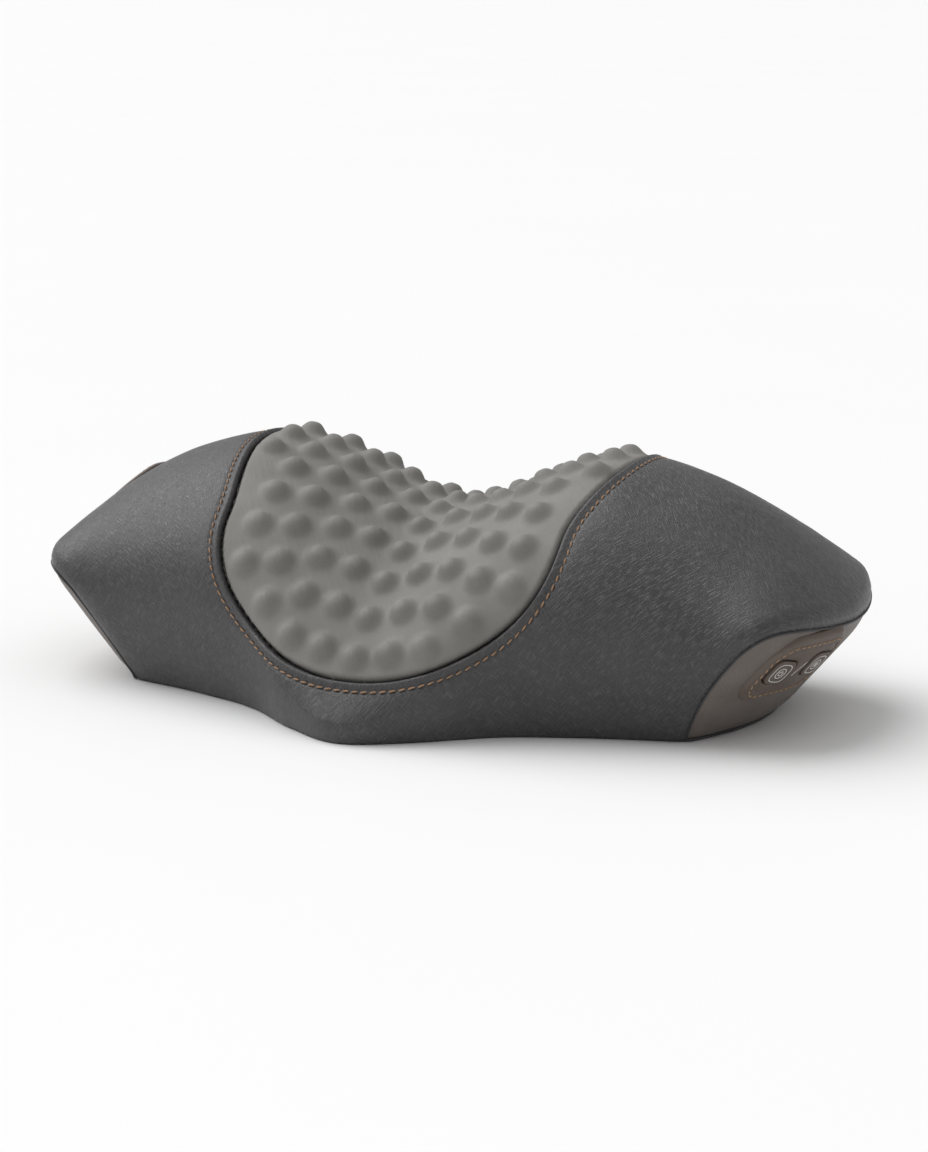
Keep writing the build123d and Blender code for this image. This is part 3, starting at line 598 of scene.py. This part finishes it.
def open_under_pad(piece):
    """Cuts the cap away where the control pad hides it, so the keys have room."""
    select(piece)
    bpy.ops.object.mode_set(mode="EDIT")
    bpy.ops.mesh.select_mode(type="FACE")
    bpy.ops.mesh.select_all(action="DESELECT")
    bpy.ops.object.mode_set(mode="OBJECT")
    for face in piece.data.polygons:
        y, z = face.center.y / MM, face.center.z / MM
        face.select = abs(y - PAD_Y) < PAD_HALF_WIDTH - 5 and abs(z - PAD_MIDDLE) < PAD_HALF_HEIGHT - 4
    bpy.ops.object.mode_set(mode="EDIT")
    bpy.ops.mesh.delete(type="FACE")
    bpy.ops.object.mode_set(mode="OBJECT")


open_under_pad(right_cap)
for cap, side, node in ((right_cap, 1, "right_end_cap"), (left_cap, -1, "left_end_cap")):
    if cap.data.polygons[0].normal.x * side < 0:
        flip(cap)
    thicken(cap, CAP_WALL)
    belongs(cap, "root", "taupe_leather", node)


def tube(name, points, radius):
    """Round closed cord through points."""
    bpy.ops.curve.primitive_bezier_curve_add()
    curve = bpy.context.object
    curve.name = name
    curve.data.splines.clear()
    spline = curve.data.splines.new("POLY")
    spline.points.add(len(points) - 1)
    for target, point in zip(spline.points, points):
        target.co = (*(point * MM), 1)
    spline.use_cyclic_u = True
    curve.data.bevel_depth = radius * MM
    curve.data.bevel_resolution = 3
    curve.data.use_fill_caps = False
    bpy.ops.object.convert(target="MESH")
    bpy.ops.object.shade_smooth()
    return bpy.context.object


for name, points in (("right_cap_piping", CAP_OUTLINE), ("left_cap_piping", mirrored(CAP_OUTLINE))):
    piping = tube(name, points, PIPING_RADIUS)
    belongs(piping, "root", "charcoal_leather")


# ---------------------------------------------------------------- control pad
PAD_AROUND, PAD_ROWS = 380, 40
PAD_WALL, PAD_PROUD, PAD_STITCH_IN, PAD_STITCH_HIGH = 0.8, 3.3, 3.4, 3.05
DIVIDER_HIGH = 3.72


def rounded_outline(half_width, half_height, corner, count):
    """Even points round a rounded rectangle, and where each runs to on its middle line."""
    turn = 2 * math.pi * np.arange(count * 4) / (count * 4)
    c, s = np.cos(turn), np.sin(turn)
    x = np.sign(c) * (half_width - corner) + corner * c
    y = np.sign(s) * (half_height - corner) + corner * s
    raw = np.stack([x, y], -1)
    run = closed_run(raw)
    even = np.linspace(0, run[-1], count, endpoint=False)
    ring = np.vstack([raw, raw[:1]])
    edge = np.stack([np.interp(even, run, ring[:, k]) for k in range(2)], -1)
    reach = half_width - half_height
    middle = np.stack([np.clip(edge[:, 0], -reach, reach), np.zeros(count)], -1)
    return edge, middle


def key_place(place):
    """Origin, up direction, side direction and normal of a key on the end face."""
    y = PAD_Y + place * KEY_PITCH
    x = CAP_FOOT - CAP_BULGE * (y / CAP_BULGE_AT) ** 2 + KEY_HEIGHT / CAP_SLOPE
    out = Vector((1, 2 * CAP_BULGE * y / CAP_BULGE_AT ** 2, -1 / CAP_SLOPE)).normalized()
    up = Vector((1, 0, CAP_SLOPE)).normalized()
    up = (up - out * up.dot(out)).normalized()
    return Vector((x, y, KEY_HEIGHT)), up, out.cross(up), out


def key_gap(points):
    """Distance from each point to the nearest key's outline; negative over a key."""
    nearest = np.full(len(points), BEYOND)
    for place in KEYS.values():
        origin, up, side, _ = key_place(place)
        local = points - np.array(origin)
        a = np.abs(local @ np.array(up)) - (KEY_HALF - KEY_CORNER)
        b = np.abs(local @ np.array(side)) - (KEY_HALF - KEY_CORNER)
        gap = np.hypot(np.maximum(a, 0), np.maximum(b, 0)) + np.minimum(np.maximum(a, b), 0) - KEY_CORNER
        nearest = np.minimum(nearest, gap)
    return nearest


PAD_EDGE, PAD_SPINE = rounded_outline(PAD_HALF_WIDTH, PAD_HALF_HEIGHT, PAD_CORNER, PAD_AROUND)


def pad_height(inside):
    """Height of the pad over the end face at a distance inside its edge."""
    rim_round = np.sqrt(1 - (1 - np.clip(inside / 3.2, 0, 1)) ** 2)
    height = PAD_PROUD * rim_round + 0.4 * (1 - bell(inside, 0, 8))
    return height - 0.35 * bell(inside, PAD_STITCH_IN, 0.7) - 0.55 * bell(inside, 5.6, 0.55)


def pad_place(column, row):
    """Puffed pad with a stitched border, a sewn channel and room for its keys."""
    edge, spine = PAD_EDGE[column], PAD_SPINE[column]
    depth = np.maximum(row - 1, 0) / (PAD_ROWS - 1)
    at = edge + (spine - edge) * depth[:, None]
    inside = np.linalg.norm(at - edge, axis=1)
    y, z = PAD_Y + at[:, 0], PAD_MIDDLE + at[:, 1]
    height = np.where(row == 0, -1.0, pad_height(inside))
    flat = end_face(y, z, np.zeros(len(y)))
    gap = key_gap(end_face(y, z, height))
    well = np.clip((0.85 - gap) / 0.5, 0, 1)
    height = height - 2.6 * well - 0.3 * bell(gap, 1.0, 0.7)
    height += wobble(flat, 12, 0.12, 11)
    return end_face(y, z, height), at


pad = patch("control_pad_leather", PAD_AROUND, PAD_ROWS, pad_place)
if sum(face.normal.x for face in pad.data.polygons) < 0:
    flip(pad)
thicken(pad, PAD_WALL)
belongs(pad, "root", "keypad_leather", "control_pad")

inward = PAD_SPINE - PAD_EDGE
sewn = PAD_EDGE + inward * (PAD_STITCH_IN / np.linalg.norm(inward, axis=1))[:, None]
sewn_y, sewn_z = PAD_Y + sewn[:, 0], PAD_MIDDLE + sewn[:, 1]
sewn_line = end_face(sewn_y, sewn_z, np.full(PAD_AROUND, PAD_STITCH_HIGH))
sewn_normal = end_face(sewn_y, sewn_z, np.full(PAD_AROUND, PAD_STITCH_HIGH + 1)) - sewn_line
pad_stitching = stitch_row("control_pad_stitching", sewn_line, sewn_normal, 3.4, 2.4, 0.42, 0.15)
belongs(pad_stitching, "root", "taupe_leather")


# ---------------------------------------------------------------- marks on the keys
RING_TUBE = 0.2                                # thickness of a mark's ring before it is sized


def ring_mark(half, thread, power, start=0.0, turn=360.0):
    """Thin raised line round a circle (power 2) or a rounded square (more); under 360 degrees it is open."""
    bpy.ops.mesh.primitive_torus_add(major_segments=72, minor_segments=8, major_radius=1,
                                     minor_radius=RING_TUBE)
    ring = bpy.context.object
    for vertex in ring.data.vertices:
        x, y, z = vertex.co
        angle = math.atan2(y, x)
        out = math.hypot(x, y) - 1
        if turn < 360:
            angle = math.radians(start + turn * ((math.degrees(angle) % 360) / 365.0))
        c, s = math.cos(angle), math.sin(angle)
        scale = half / (abs(c) ** power + abs(s) ** power) ** (1 / power)
        reach = scale + out / RING_TUBE * thread
        vertex.co = (reach * c * MM, reach * s * MM, z / RING_TUBE * thread * 0.5 * MM)
    if turn < 360:
        bpy.ops.object.mode_set(mode="EDIT")
        bpy.ops.mesh.select_mode(type="FACE")
        bpy.ops.mesh.select_all(action="DESELECT")
        bpy.ops.object.mode_set(mode="OBJECT")
        for face in ring.data.polygons:
            spread = max((ring.data.vertices[a].co - ring.data.vertices[b].co).length
                         for a in face.vertices for b in face.vertices)
            face.select = spread > half * 0.4 * MM
        bpy.ops.object.mode_set(mode="EDIT")
        bpy.ops.mesh.delete(type="FACE")
        bpy.ops.mesh.select_all(action="SELECT")
        bpy.ops.mesh.fill_holes(sides=0)
        bpy.ops.object.mode_set(mode="OBJECT")
    return ring


def bar_mark(x0, y0, x1, y1, thread):
    """Thin raised stroke between two points."""
    bpy.ops.mesh.primitive_uv_sphere_add(segments=12, ring_count=8, radius=1)
    bar = bpy.context.object
    start, end = Vector((x0, y0, 0)), Vector((x1, y1, 0))
    along_bar = (end - start).normalized()
    across = Vector((-along_bar.y, along_bar.x, 0))
    for vertex in bar.data.vertices:
        x, y, z = vertex.co
        base = end if z > 0 else start
        lift = Vector((0, 0, y * thread * 0.5))
        vertex.co = (base + along_bar * z * thread + across * x * thread + lift) * MM
    return bar


def join(name, pieces):
    """One piece out of several."""
    bpy.ops.object.select_all(action="DESELECT")
    for piece in pieces:
        piece.select_set(True)
    bpy.context.view_layer.objects.active = pieces[0]
    bpy.ops.object.join()
    joined = bpy.context.object
    joined.name = joined.data.name = name
    return joined


MARK_LINE = 0.22


def key_marks(kind):
    """The printed lines of one key: outline, ring and a small sign."""
    marks = [ring_mark(5.3, MARK_LINE, 3.2), ring_mark(2.9, MARK_LINE, 2.0)]
    if kind == "power":
        marks += [ring_mark(1.35, MARK_LINE, 2.0, 125, 290), bar_mark(0, 0.5, 0, 1.7, MARK_LINE)]
    else:
        marks += [bar_mark(x, -1.2, x, 1.2, MARK_LINE) for x in (-0.9, 0, 0.9)]
    return marks


for kind, place in KEYS.items():
    origin, up, side, out = key_place(place)
    sign = join(kind + "_key_sign", key_marks(kind))
    matrix = Matrix((-side, up, out)).transposed().to_4x4()
    matrix.translation = (origin + out * KEY_TOP) * MM
    sign.data.transform(matrix)
    turn_outward(sign)
    bpy.ops.object.shade_smooth()
    belongs(sign, kind + "_key", "white_foam")


origin, up, side, out = key_place(0.0)
divider = bar_mark(-1.4, -4.2, 1.4, 4.2, MARK_LINE)
divider.name = divider.data.name = "pad_divider_sign"
matrix = Matrix((-side, up, out)).transposed().to_4x4()
matrix.translation = (origin + out * DIVIDER_HIGH) * MM
divider.data.transform(matrix)
bpy.ops.object.shade_smooth()
belongs(divider, "root", "white_foam")


# ---------------------------------------------------------------- port flap and its sewn strip
def crown(x, y):
    """Height of the cushion's top."""
    depth, top, waist = along(HALF_DEPTH, x), along(RIDGE_HEIGHT, x), along(WAIST_HEIGHT, x)
    rest = np.maximum(1 - (np.abs(y) / depth) ** along(CROWN_WIDTH, x), 0)
    return waist + (top - waist) * rest ** (1 / along(CROWN_RISE, x))


def port_axes():
    """Origin and axes of the charging port on the left wing."""
    step = 0.5
    x, y = np.array([PORT_X]), np.array([PORT_Y])
    rise_x = float(((crown(x + step, y) - crown(x - step, y)) / (2 * step))[0])
    rise_y = float(((crown(x, y + step) - crown(x, y - step)) / (2 * step))[0])
    out = np.array([-rise_x, -rise_y, 1.0])
    out /= np.linalg.norm(out)
    run = np.array([1.0, 0, rise_x])
    run -= out * run.dot(out)
    run /= np.linalg.norm(run)
    return np.array([PORT_X, PORT_Y, float(crown(x, y)[0])]), run, np.cross(out, run), out


PORT_ORIGIN, PORT_RUN, PORT_ACROSS, PORT_OUT = port_axes()


def on_wing(a, b, height):
    """Points over the left wing at (a, b) in the port's plane, a height above the skin."""
    at = PORT_ORIGIN + np.outer(a, PORT_RUN) + np.outer(b, PORT_ACROSS)
    step = 0.8
    x, y = at[:, 0], at[:, 1]
    rise_x = (crown(x + step, y) - crown(x - step, y)) / (2 * step)
    rise_y = (crown(x, y + step) - crown(x, y - step)) / (2 * step)
    out = np.stack([-rise_x, -rise_y, np.ones_like(x)], -1)
    out /= np.linalg.norm(out, axis=1, keepdims=True)
    return np.stack([x, y, crown(x, y)], -1) + out * np.asarray(height)[:, None]


LEAF_AROUND, LEAF_ROWS = 200, 20
LEAF_STITCH_IN = 2.6


def leaf(name, half_length, half_width, corner, shift, low, thick):
    """Leather leaf on the wing: a closed shape with rounded edges, underside and top."""
    edge, spine = rounded_outline(half_length, half_width, corner, LEAF_AROUND)

    def place(column, row):
        half = LEAF_ROWS // 2
        top = row > half
        depth = np.abs(row - half) / half
        at = edge[column] + (spine[column] - edge[column]) * (depth ** 1.5)[:, None]
        inside = np.linalg.norm(at - edge[column], axis=1)
        round_off = np.sqrt(1 - (1 - np.clip(inside / 1.0, 0, 1)) ** 2)
        middle = low + thick / 2
        height = middle + np.where(top, 1, -1) * thick / 2 * round_off
        height = height - np.where(top, 0.3 * bell(inside, LEAF_STITCH_IN, 0.7), 0)
        return on_wing(at[:, 0], at[:, 1] + shift, height), at

    piece = patch(name, LEAF_AROUND, LEAF_ROWS, place)
    turn_outward(piece)
    bpy.ops.object.shade_smooth()
    span = np.linalg.norm(spine - edge, axis=1).clip(LEAF_STITCH_IN)
    sewn = edge + (spine - edge) * (LEAF_STITCH_IN / span)[:, None]
    line = on_wing(sewn[:, 0], sewn[:, 1] + shift, np.full(LEAF_AROUND, low + thick - 0.25))
    normals = on_wing(sewn[:, 0], sewn[:, 1] + shift, np.full(LEAF_AROUND, low + thick + 0.75)) - line
    stitches = stitch_row(name + "_stitching", line, normals, 3.4, 2.4, 0.4, 0.15)
    return piece, stitches


flap, flap_stitching = leaf("port_flap_leather", FLAP_LENGTH / 2, FLAP_WIDTH / 2, FLAP_CORNER,
                            0.0, 0.5, 2.0)
belongs(flap, "flap", "flap_leather", "port_flap")
belongs(flap_stitching, "flap", "taupe_leather")
strip_shift = FLAP_WIDTH / 2 + STRIP_GAP + STRIP_WIDTH / 2
strip, strip_stitching = leaf("flap_strip_leather", FLAP_LENGTH / 2 - 3, STRIP_WIDTH / 2, 2.0,
                              strip_shift, 0.0, 1.8)
belongs(strip, "root", "flap_leather", "flap_anchor_strip")
belongs(strip_stitching, "root", "taupe_leather")


# ---------------------------------------------------------------- finishes
class Finish:
    """A procedural material on a Principled shader."""

    def __init__(self, name, rough=0.5, chart=False, **constants):
        self.material = bpy.data.materials.new(name)
        self.material.use_nodes = True
        self.tree = self.material.node_tree
        self.shader = next(n for n in self.tree.nodes if n.type == "BSDF_PRINCIPLED")
        self.shader.inputs["Roughness"].default_value = rough
        for socket, value in constants.items():
            self.shader.inputs[socket.replace("_", " ")].default_value = value
        if chart:
            self.where = self.node("ShaderNodeUVMap", uv_map="cloth").outputs[0]
        else:
            self.where = self.node("ShaderNodeTexCoord").outputs["Object"]
        self.normal = None

    def node(self, kind, **settings):
        """A new node."""
        made = self.tree.nodes.new(kind)
        for setting, value in settings.items():
            setattr(made, setting, value)
        return made

    def join(self, source, target):
        """A new link."""
        self.tree.links.new(source, target)

    def turned(self, scale, turn=0.0, source=None):
        """Coordinates stretched by scale after a turn about Z."""
        spin = self.node("ShaderNodeMapping")
        spin.inputs["Rotation"].default_value = (0, 0, math.radians(turn))
        self.join(source or self.where, spin.inputs["Vector"])
        stretch = self.node("ShaderNodeMapping")
        stretch.inputs["Scale"].default_value = scale
        self.join(spin.outputs[0], stretch.inputs["Vector"])
        return stretch.outputs[0]

    def noise(self, size, detail=3.0, source=None):
        """Noise with features about size millimetres across."""
        made = self.node("ShaderNodeTexNoise")
        made.inputs["Scale"].default_value = 1 / (size * MM) if source is None else 1.0
        made.inputs["Detail"].default_value = detail
        self.join(source or self.where, made.inputs["Vector"])
        return made.outputs["Fac"]

    def cells(self, size):
        """Cells about size millimetres across."""
        made = self.node("ShaderNodeTexVoronoi", feature="F1")
        made.inputs["Scale"].default_value = 1 / (size * MM)
        self.join(self.where, made.inputs["Vector"])
        return made.outputs["Distance"]

    def math(self, operation, first, second):
        """Maths on two values, either of which may be a number."""
        made = self.node("ShaderNodeMath", operation=operation)
        for socket, value in zip(made.inputs, (first, second)):
            if isinstance(value, (int, float)):
                socket.default_value = value
            else:
                self.join(value, socket)
        return made.outputs[0]

    def spread(self, value, low, high, to_low=0.0, to_high=1.0):
        """A value's range mapped to another, clamped."""
        made = self.node("ShaderNodeMapRange")
        for index, number in enumerate((low, high, to_low, to_high)):
            made.inputs[index + 1].default_value = number
        self.join(value, made.inputs[0])
        return made.outputs[0]

    def mix(self, share, first, second):
        """Colour mix; each colour is a tuple or a socket."""
        made = self.node("ShaderNodeMix", data_type="RGBA")
        self.join(share, made.inputs["Factor"])
        for socket, value in ((made.inputs[6], first), (made.inputs[7], second)):
            if isinstance(value, tuple):
                socket.default_value = (*value, 1)
            else:
                self.join(value, socket)
        return made.outputs[2]

    def colour(self, source):
        """Sets the base colour."""
        self.join(source, self.shader.inputs["Base Color"])

    def rough(self, source):
        """Sets the roughness."""
        self.join(source, self.shader.inputs["Roughness"])

    def bump(self, height, depth, strength=1.0):
        """Adds relief depth millimetres deep."""
        made = self.node("ShaderNodeBump")
        made.inputs["Strength"].default_value = strength
        made.inputs["Distance"].default_value = depth * MM
        self.join(height, made.inputs["Height"])
        if self.normal:
            self.join(self.normal, made.inputs["Normal"])
        self.normal = made.outputs[0]
        self.join(self.normal, self.shader.inputs["Normal"])


def hatch(finish, turn, across, length):
    """Short fine lines in one direction."""
    lines = finish.noise(1, 2.0, finish.turned((1 / (across * MM), 1 / (length * MM), 1), turn))
    return finish.spread(lines, 0.50, 0.66)


def charcoal_finish():
    """Leather embossed with a fine cross-hatch."""
    made = Finish("charcoal_leather_look", 0.42, chart=True, Specular_IOR_Level=0.6)
    crossed = made.math("MAXIMUM", hatch(made, 36, 0.55, 6), hatch(made, -40, 0.55, 5))
    grain = made.noise(0.35, 2.0)
    patchy = made.noise(30, 4.0)
    base = made.mix(made.spread(patchy, 0.3, 0.7), (0.03, 0.029, 0.03), (0.043, 0.041, 0.043))
    made.colour(made.mix(made.spread(crossed, 0, 1, 0, 0.6), base, (0.09, 0.087, 0.09)))
    made.rough(made.spread(made.math("ADD", crossed, grain), 0.3, 1.6, 0.46, 0.36))
    made.bump(crossed, 0.14, 1.0)
    made.bump(grain, 0.05, 0.5)
    return made.material


def panel_finish():
    """Matte soft skin, finely grained and faintly creased."""
    made = Finish("grey_panel_look", 0.62, chart=True, Specular_IOR_Level=0.35)
    crease = made.noise(1, 3.0, made.turned((1 / (2.2 * MM), 1 / (16 * MM), 1), -35))
    grain = made.noise(0.5, 3.0)
    patchy = made.noise(25, 4.0)
    base = made.mix(made.spread(patchy, 0.3, 0.7), (0.19, 0.186, 0.172), (0.235, 0.23, 0.215))
    made.colour(made.mix(made.spread(grain, 0.35, 0.7, 0, 0.35), base, (0.15, 0.147, 0.137)))
    made.rough(made.spread(grain, 0.3, 0.7, 0.55, 0.7))
    made.bump(crease, 0.5, 0.55)
    made.bump(grain, 0.07, 0.7)
    return made.material


def smooth_leather(name, dark, light, rough, grain_size=0.7, relief=0.12):
    """Fine-grained leather with slow colour variation."""
    made = Finish(name, rough, Specular_IOR_Level=0.45)
    pebbles = made.cells(grain_size)
    patchy = made.noise(18, 4.0)
    fine = made.noise(0.4, 3.0)
    base = made.mix(made.spread(patchy, 0.3, 0.7), dark, light)
    made.colour(made.mix(made.spread(pebbles, 0.0, 0.5, 0.35, 0.0), base, tuple(c * 0.6 for c in dark)))
    made.rough(made.spread(fine, 0.3, 0.7, rough - 0.06, rough + 0.08))
    made.bump(pebbles, relief, 0.6)
    made.bump(fine, 0.04, 0.5)
    return made.material


def thread_finish(name, dark, light):
    """Twisted sewing thread."""
    made = Finish(name, 0.7)
    twist = made.noise(0.5, 2.0)
    made.colour(made.mix(made.spread(twist, 0.3, 0.7), dark, light))
    made.bump(twist, 0.15, 0.8)
    return made.material


def moulded(name, dark, light, rough, texture=0.35, relief=0.03, **constants):
    """Moulded or painted surface with a fine spark texture."""
    made = Finish(name, rough, **constants)
    fine, patchy = made.noise(texture, 3.0), made.noise(20, 3.0)
    made.colour(made.mix(made.spread(patchy, 0.3, 0.7), dark, light))
    made.rough(made.spread(fine, 0.3, 0.7, rough - 0.05, rough + 0.07))
    made.bump(fine, relief, 0.6)
    return made.material


def metal(name, dark, light, rough):
    """Drawn or turned metal with faint streaks."""
    made = Finish(name, rough, Metallic=1.0)
    streak = made.noise(1, 3.0, made.turned((1 / (0.3 * MM), 1 / (0.3 * MM), 1 / (9 * MM))))
    made.colour(made.mix(made.spread(streak, 0.3, 0.7), dark, light))
    made.rough(made.spread(streak, 0.3, 0.7, rough - 0.06, rough + 0.1))
    made.bump(streak, 0.02, 0.5)
    return made.material


def foam_finish():
    """Open-cell foam, with painted shade darkening the middle of each pore."""
    made = Finish("white_foam_look", 0.9)
    pores = made.cells(0.9)
    # painted shade: the colour darkens towards each pore's middle, where the bump sinks the surface
    made.colour(made.mix(made.spread(pores, 0.0, 0.6), (0.45, 0.43, 0.36), (0.78, 0.76, 0.68)))
    made.bump(pores, 0.5, 0.8)
    return made.material


LOOKS = {
    "charcoal_leather": charcoal_finish(),
    "grey_panel": panel_finish(),
    "taupe_leather": smooth_leather("taupe_leather_look", (0.12, 0.1, 0.088), (0.155, 0.132, 0.118), 0.5),
    "keypad_leather": smooth_leather("keypad_leather_look", (0.1, 0.075, 0.06), (0.13, 0.1, 0.082), 0.45),
    "flap_leather": smooth_leather("flap_leather_look", (0.2, 0.165, 0.15), (0.27, 0.225, 0.205), 0.5),
    "key_rubber": smooth_leather("key_rubber_look", (0.1, 0.075, 0.06), (0.13, 0.1, 0.082), 0.48, 0.5, 0.06),
    "base_plastic": moulded("base_plastic_look", (0.03, 0.03, 0.032), (0.045, 0.045, 0.048), 0.5),
    "foot_rubber": moulded("foot_rubber_look", (0.018, 0.018, 0.018), (0.03, 0.03, 0.03), 0.8),
    "white_foam": foam_finish(),
    "heater_film": moulded("heater_film_look", (0.3, 0.1, 0.03), (0.4, 0.15, 0.05), 0.4),
    "frame_plastic": moulded("frame_plastic_look", (0.1, 0.1, 0.11), (0.14, 0.14, 0.15), 0.5),
    "gearbox_plastic": moulded("gearbox_plastic_look", (0.62, 0.62, 0.6), (0.72, 0.72, 0.7), 0.45),
    "wheel_nylon": moulded("wheel_nylon_look", (0.72, 0.7, 0.62), (0.82, 0.8, 0.72), 0.4),
    "bronze": metal("bronze_look", (0.6, 0.4, 0.2), (0.75, 0.53, 0.28), 0.4),
    "bright_steel": metal("bright_steel_look", (0.5, 0.5, 0.52), (0.65, 0.65, 0.67), 0.28),
    "arm_plastic": moulded("arm_plastic_look", (0.08, 0.08, 0.09), (0.12, 0.12, 0.13), 0.45),
    "ball_plastic": moulded("ball_plastic_look", (0.5, 0.07, 0.04), (0.62, 0.1, 0.06), 0.25, 0.6, 0.01),
    "magnet_iron": metal("magnet_iron_look", (0.1, 0.1, 0.1), (0.16, 0.16, 0.16), 0.6),
    "board_green": moulded("board_green_look", (0.02, 0.14, 0.05), (0.03, 0.2, 0.08), 0.3),
    "component_black": moulded("component_black_look", (0.02, 0.02, 0.02), (0.035, 0.035, 0.035), 0.5),
    "cell_wrap": moulded("cell_wrap_look", (0.03, 0.14, 0.33), (0.05, 0.2, 0.45), 0.25),
}
THREAD = thread_finish("tan_thread", (0.2, 0.115, 0.062), (0.4, 0.25, 0.155))
PAD_THREAD = thread_finish("pale_thread", (0.26, 0.16, 0.09), (0.4, 0.27, 0.17))
PRINT = moulded("white_print", (0.68, 0.67, 0.65), (0.8, 0.79, 0.77), 0.6)


def wear(piece, material):
    """Gives a piece its one material."""
    piece.data.materials.clear()
    piece.data.materials.append(material)


wear(cover, LOOKS["charcoal_leather"])
wear(panel, LOOKS["grey_panel"])
for cap in (right_cap, left_cap):
    wear(cap, LOOKS["taupe_leather"])
wear(pad, LOOKS["keypad_leather"])
for piece in (flap, strip):
    wear(piece, LOOKS["flap_leather"])
for name in ("right_cap_piping", "left_cap_piping"):
    wear(bpy.data.objects[name], LOOKS["base_plastic"])
wear(panel_stitching, THREAD)
for piece in (pad_stitching, flap_stitching, strip_stitching):
    wear(piece, PAD_THREAD)
for kind in KEYS:
    wear(bpy.data.objects[kind + "_key_sign"], PRINT)
wear(divider, PRINT)

slot_of = {part["node"]: part["material_slot"] for part in frame["record"]["subparts"]}
for node, piece in frame["nodes"].items():
    look = LOOKS[slot_of[node]]
    if len(piece.data.materials) == 0:
        piece.data.materials.append(look)
    for index in range(len(piece.data.materials)):
        piece.data.materials[index] = look

# ---------------------------------------------------------------- floor, light and camera
bpy.ops.mesh.primitive_plane_add(size=120, location=(0, 0, 0))
floor = bpy.context.object
floor.name = "floor"
ground = Finish("pale_floor", 0.75)
ground.colour(ground.mix(ground.noise(400), (0.86, 0.86, 0.86), (0.88, 0.88, 0.88)))
wear(floor, ground.material)

world = bpy.data.worlds.new("studio")
bpy.context.scene.world = world
world.use_nodes = True
world.node_tree.nodes["Background"].inputs["Color"].default_value = (1, 1, 1, 1)
world.node_tree.nodes["Background"].inputs["Strength"].default_value = 0.46
bpy.context.scene.view_settings.view_transform = "Standard"


def soft_sun(name, heading, strength, softness):
    """Wide soft light from a direction, the same all over the floor."""
    bpy.ops.object.light_add(type="SUN", location=heading)
    lamp = bpy.context.object
    lamp.name = name
    lamp.data.energy = strength
    lamp.data.angle = math.radians(softness)
    lamp.rotation_euler = (-Vector(heading)).to_track_quat("-Z", "Y").to_euler()


soft_sun("key_light", (-1.0, 0.1, 1.2), 2.25, 62)
soft_sun("top_light", (0.1, -0.1, 1.5), 0.4, 90)

AZIMUTH, ELEVATION, DISTANCE = math.radians(24.31), math.radians(12.17), 1.367
ORBIT_HEIGHT, AIM = 0.050, Vector((0.0061, 0, 0.0511))
back = Vector((math.sin(AZIMUTH) * math.cos(ELEVATION), -math.cos(AZIMUTH) * math.cos(ELEVATION),
               math.sin(ELEVATION)))
eye = Vector((0, 0, ORBIT_HEIGHT)) + back * DISTANCE
camera_data = bpy.data.cameras.new("camera")
camera_data.sensor_width = 36
camera_data.lens = 91.25
camera = bpy.data.objects.new("camera", camera_data)
bpy.context.collection.objects.link(camera)
camera.location = eye
camera.rotation_euler = (AIM - eye).to_track_quat("-Z", "Y").to_euler()
bpy.context.scene.camera = camera
